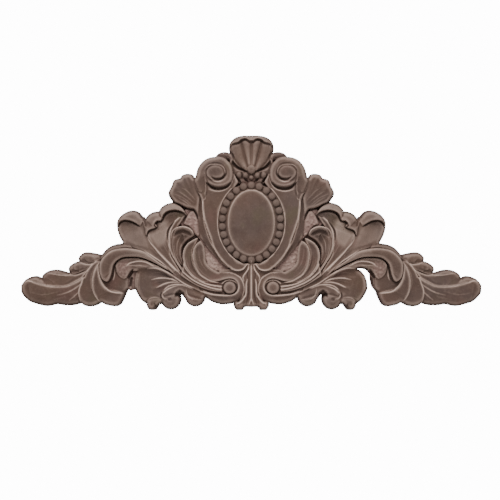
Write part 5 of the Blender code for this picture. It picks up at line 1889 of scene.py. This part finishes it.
@dataclass(frozen=True)
class FoamFinish:
    """Matt moulded foam: pale on its crests for wear and painted highlight, painted shade in its hollows and
    undercuts, mottled all over.
    """

    name: str = "moulded_foam"
    roughness: float = 0.78
    crest_strength: float = 0.94
    hollow_shade_strength: float = 0.35
    shade_strength: float = 0.76
    grain_bump: float = 0.35
    grain_depth: float = 0.0006
    sheen: float = 0.15
    grain_scale: float = 420.0
    mottle_scale: float = 46.0
    patch_scale: float = 11.0
    cast_scale: float = 17.0

    def make(self) -> bpy.types.Material:
        """Build the material's nodes.

        Returns:
            The material.
        """
        graph = ShaderGraph(bpy.data.materials.new(self.name))
        place = graph.node("ShaderNodeTexCoord", {}, {}, "Object")
        grain = graph.noise(place, self.grain_scale, 4.0, 0.7)
        mottle = graph.noise(place, self.mottle_scale, 4.0, 0.6)
        patches = graph.noise(place, self.patch_scale, 3.0)
        cast = graph.noise(place, self.cast_scale, 2.0)
        crest, sunk, rough, pale, dark = (graph.stored(name) for name in STORED)
        base = graph.mix(graph.spread(patches, 0.35, 0.65), colour(Tone.FIELD), colour(Tone.BLUE_CAST))
        base = graph.mix(graph.spread(cast, 0.58, 0.75), base, colour(Tone.GREEN_CAST))
        base = graph.mix(graph.spread(cast, 0.42, 0.25), base, colour(Tone.PINK_CAST))
        base = graph.mix(graph.spread(mottle, 0.50, 0.30) * 0.25, base, colour(Tone.SHADE_AND_MOTTLE))
        base = graph.mix((rough * (0.55 + 0.6 * grain)).clamped(), base, colour(Tone.GROUND))
        # Painted shade in the hollows and along the undercuts, pale wear and painted highlight on the crests.
        base = graph.mix((sunk ** 0.8).clamped() * self.hollow_shade_strength, base, colour(Tone.SHADE_AND_MOTTLE))
        wear_and_highlight = ((crest * 0.3 + pale) * (0.55 + 0.9 * mottle)).clamped() * self.crest_strength
        base = graph.mix(wear_and_highlight, base, colour(Tone.CREST))
        base = graph.mix(dark.clamped() * self.shade_strength, base, colour(Tone.SHADE_AND_MOTTLE))
        base = graph.mix(graph.spread(grain, 0.60, 0.80) * 0.25, base, colour(Tone.CREST))
        base = graph.mix(graph.spread(grain, 0.42, 0.22) * 0.30, base, colour(Tone.SHADE_AND_MOTTLE))
        graph.feed(graph.shader.inputs["Base Color"], base)
        graph.feed(graph.shader.inputs["Roughness"],
                   (self.roughness + 0.16 * (mottle - 0.5) - 0.08 * crest).clamped())
        graph.feed(graph.shader.inputs["Specular IOR Level"], self.sheen)
        height = 0.6 * grain + 0.4 * mottle
        bump = graph.node("ShaderNodeBump", {},
                          {"Strength": self.grain_bump, "Distance": self.grain_depth, "Height": height})
        graph.feed(graph.shader.inputs["Normal"], bump)
        return graph.owner


@dataclass(frozen=True)
class FloorFinish:
    """Plain pale studio floor."""

    name: str = "studio_floor"
    roughness: float = 0.85
    speck_scale: float = 30.0

    def make(self) -> bpy.types.Material:
        """Build the material's nodes.

        Returns:
            The material.
        """
        graph = ShaderGraph(bpy.data.materials.new(self.name))
        place = graph.node("ShaderNodeTexCoord", {}, {}, "Object")
        speck = graph.noise(place, self.speck_scale)
        base = graph.mix(0.08 * speck, colour(Tone.PALE_FLOOR), WHITE)
        graph.feed(graph.shader.inputs["Base Color"], base)
        graph.feed(graph.shader.inputs["Roughness"], self.roughness)
        return graph.owner


@dataclass
class Lamp:
    """One soft light."""

    name: str
    place: tuple[float, float, float]
    aim: tuple[float, float, float]
    width: float
    power: float

    def hang(self) -> None:
        """Make the light and point it at its aim."""
        data = bpy.data.lights.new(self.name, "AREA")
        data.shape = "SQUARE"
        data.size = self.width
        data.energy = self.power
        lamp = bpy.data.objects.new(self.name, data)
        lamp.location = self.place
        toward = Vector(self.aim) - Vector(self.place)
        lamp.rotation_euler = toward.to_track_quat("-Z", "Y").to_euler()
        bpy.context.scene.collection.objects.link(lamp)


@dataclass
class Studio:
    """Floor, lights, white surroundings and the camera, level in front of the panel."""

    camera_distance: float = 2.6
    frame_width: float = 1.0
    frame_middle: tuple[float, float] = (-0.0026, -0.056)
    floor_drop: float = 1.25
    ambient: float = 0.6
    white: float = 14.0

    def build(self) -> None:
        """Set up the studio."""
        self.lay_floor()
        self.light()
        self.surround()
        self.aim_camera()

    def lay_floor(self) -> None:
        """Lay the floor well below the panel."""
        mesh = bpy.data.meshes.new("floor")
        span = 6.0
        corners = [(-span, -span, 0), (span, -span, 0), (span, 1.0, 0), (-span, 1.0, 0)]
        mesh.from_pydata(corners, [], [(0, 1, 2, 3)])
        floor = bpy.data.objects.new("floor", mesh)
        floor.location.z = -self.floor_drop
        mesh.materials.append(FloorFinish().make())
        bpy.context.scene.collection.objects.link(floor)

    def light(self) -> None:
        """Hang a broad light above and in front, a weak one at the side and one behind."""
        Lamp("key_light", (-0.25, -1.1, 1.5), (0, 0, 0), 1.2, 38.0).hang()
        Lamp("fill_light", (0.9, -2.4, 0.3), (0, 0, 0), 1.6, 10.0).hang()
        Lamp("back_light", (0.0, 1.8, 1.2), (0, 0, 0), 1.5, 12.0).hang()

    def surround(self) -> None:
        """Surround the scene with white, brighter where it is seen than where it lights."""
        graph = ShaderGraph(bpy.data.worlds.new("white_surroundings"), "Background")
        seen = graph.node("ShaderNodeLightPath", {}, {}, "Is Camera Ray")
        graph.feed(graph.shader.inputs["Color"], WHITE)
        graph.feed(graph.shader.inputs["Strength"], (self.white - self.ambient) * seen + self.ambient)
        bpy.context.scene.world = graph.owner

    def aim_camera(self) -> None:
        """Set the camera level and square to the panel."""
        data = bpy.data.cameras.new("camera")
        data.sensor_width = 36.0
        data.lens = data.sensor_width * (self.camera_distance - 0.01) / self.frame_width
        camera = bpy.data.objects.new("camera", data)
        camera.location = (self.frame_middle[0], -self.camera_distance, self.frame_middle[1])
        camera.rotation_euler = (radians(90), 0, 0)
        bpy.context.scene.collection.objects.link(camera)
        bpy.context.scene.camera = camera


def main() -> None:
    """Build the panel and the studio in the frame."""
    logging.basicConfig(level=logging.INFO, format="%(name)s: %(message)s")
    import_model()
    panel = CrestPanel().build()
    panel.data.materials.append(FoamFinish().make())
    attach(panel, "root")
    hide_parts("relief_panel")
    log.info("panel placed on root")
    Studio().build()
    log.info("studio set")


if __name__ == "__main__":
    main()
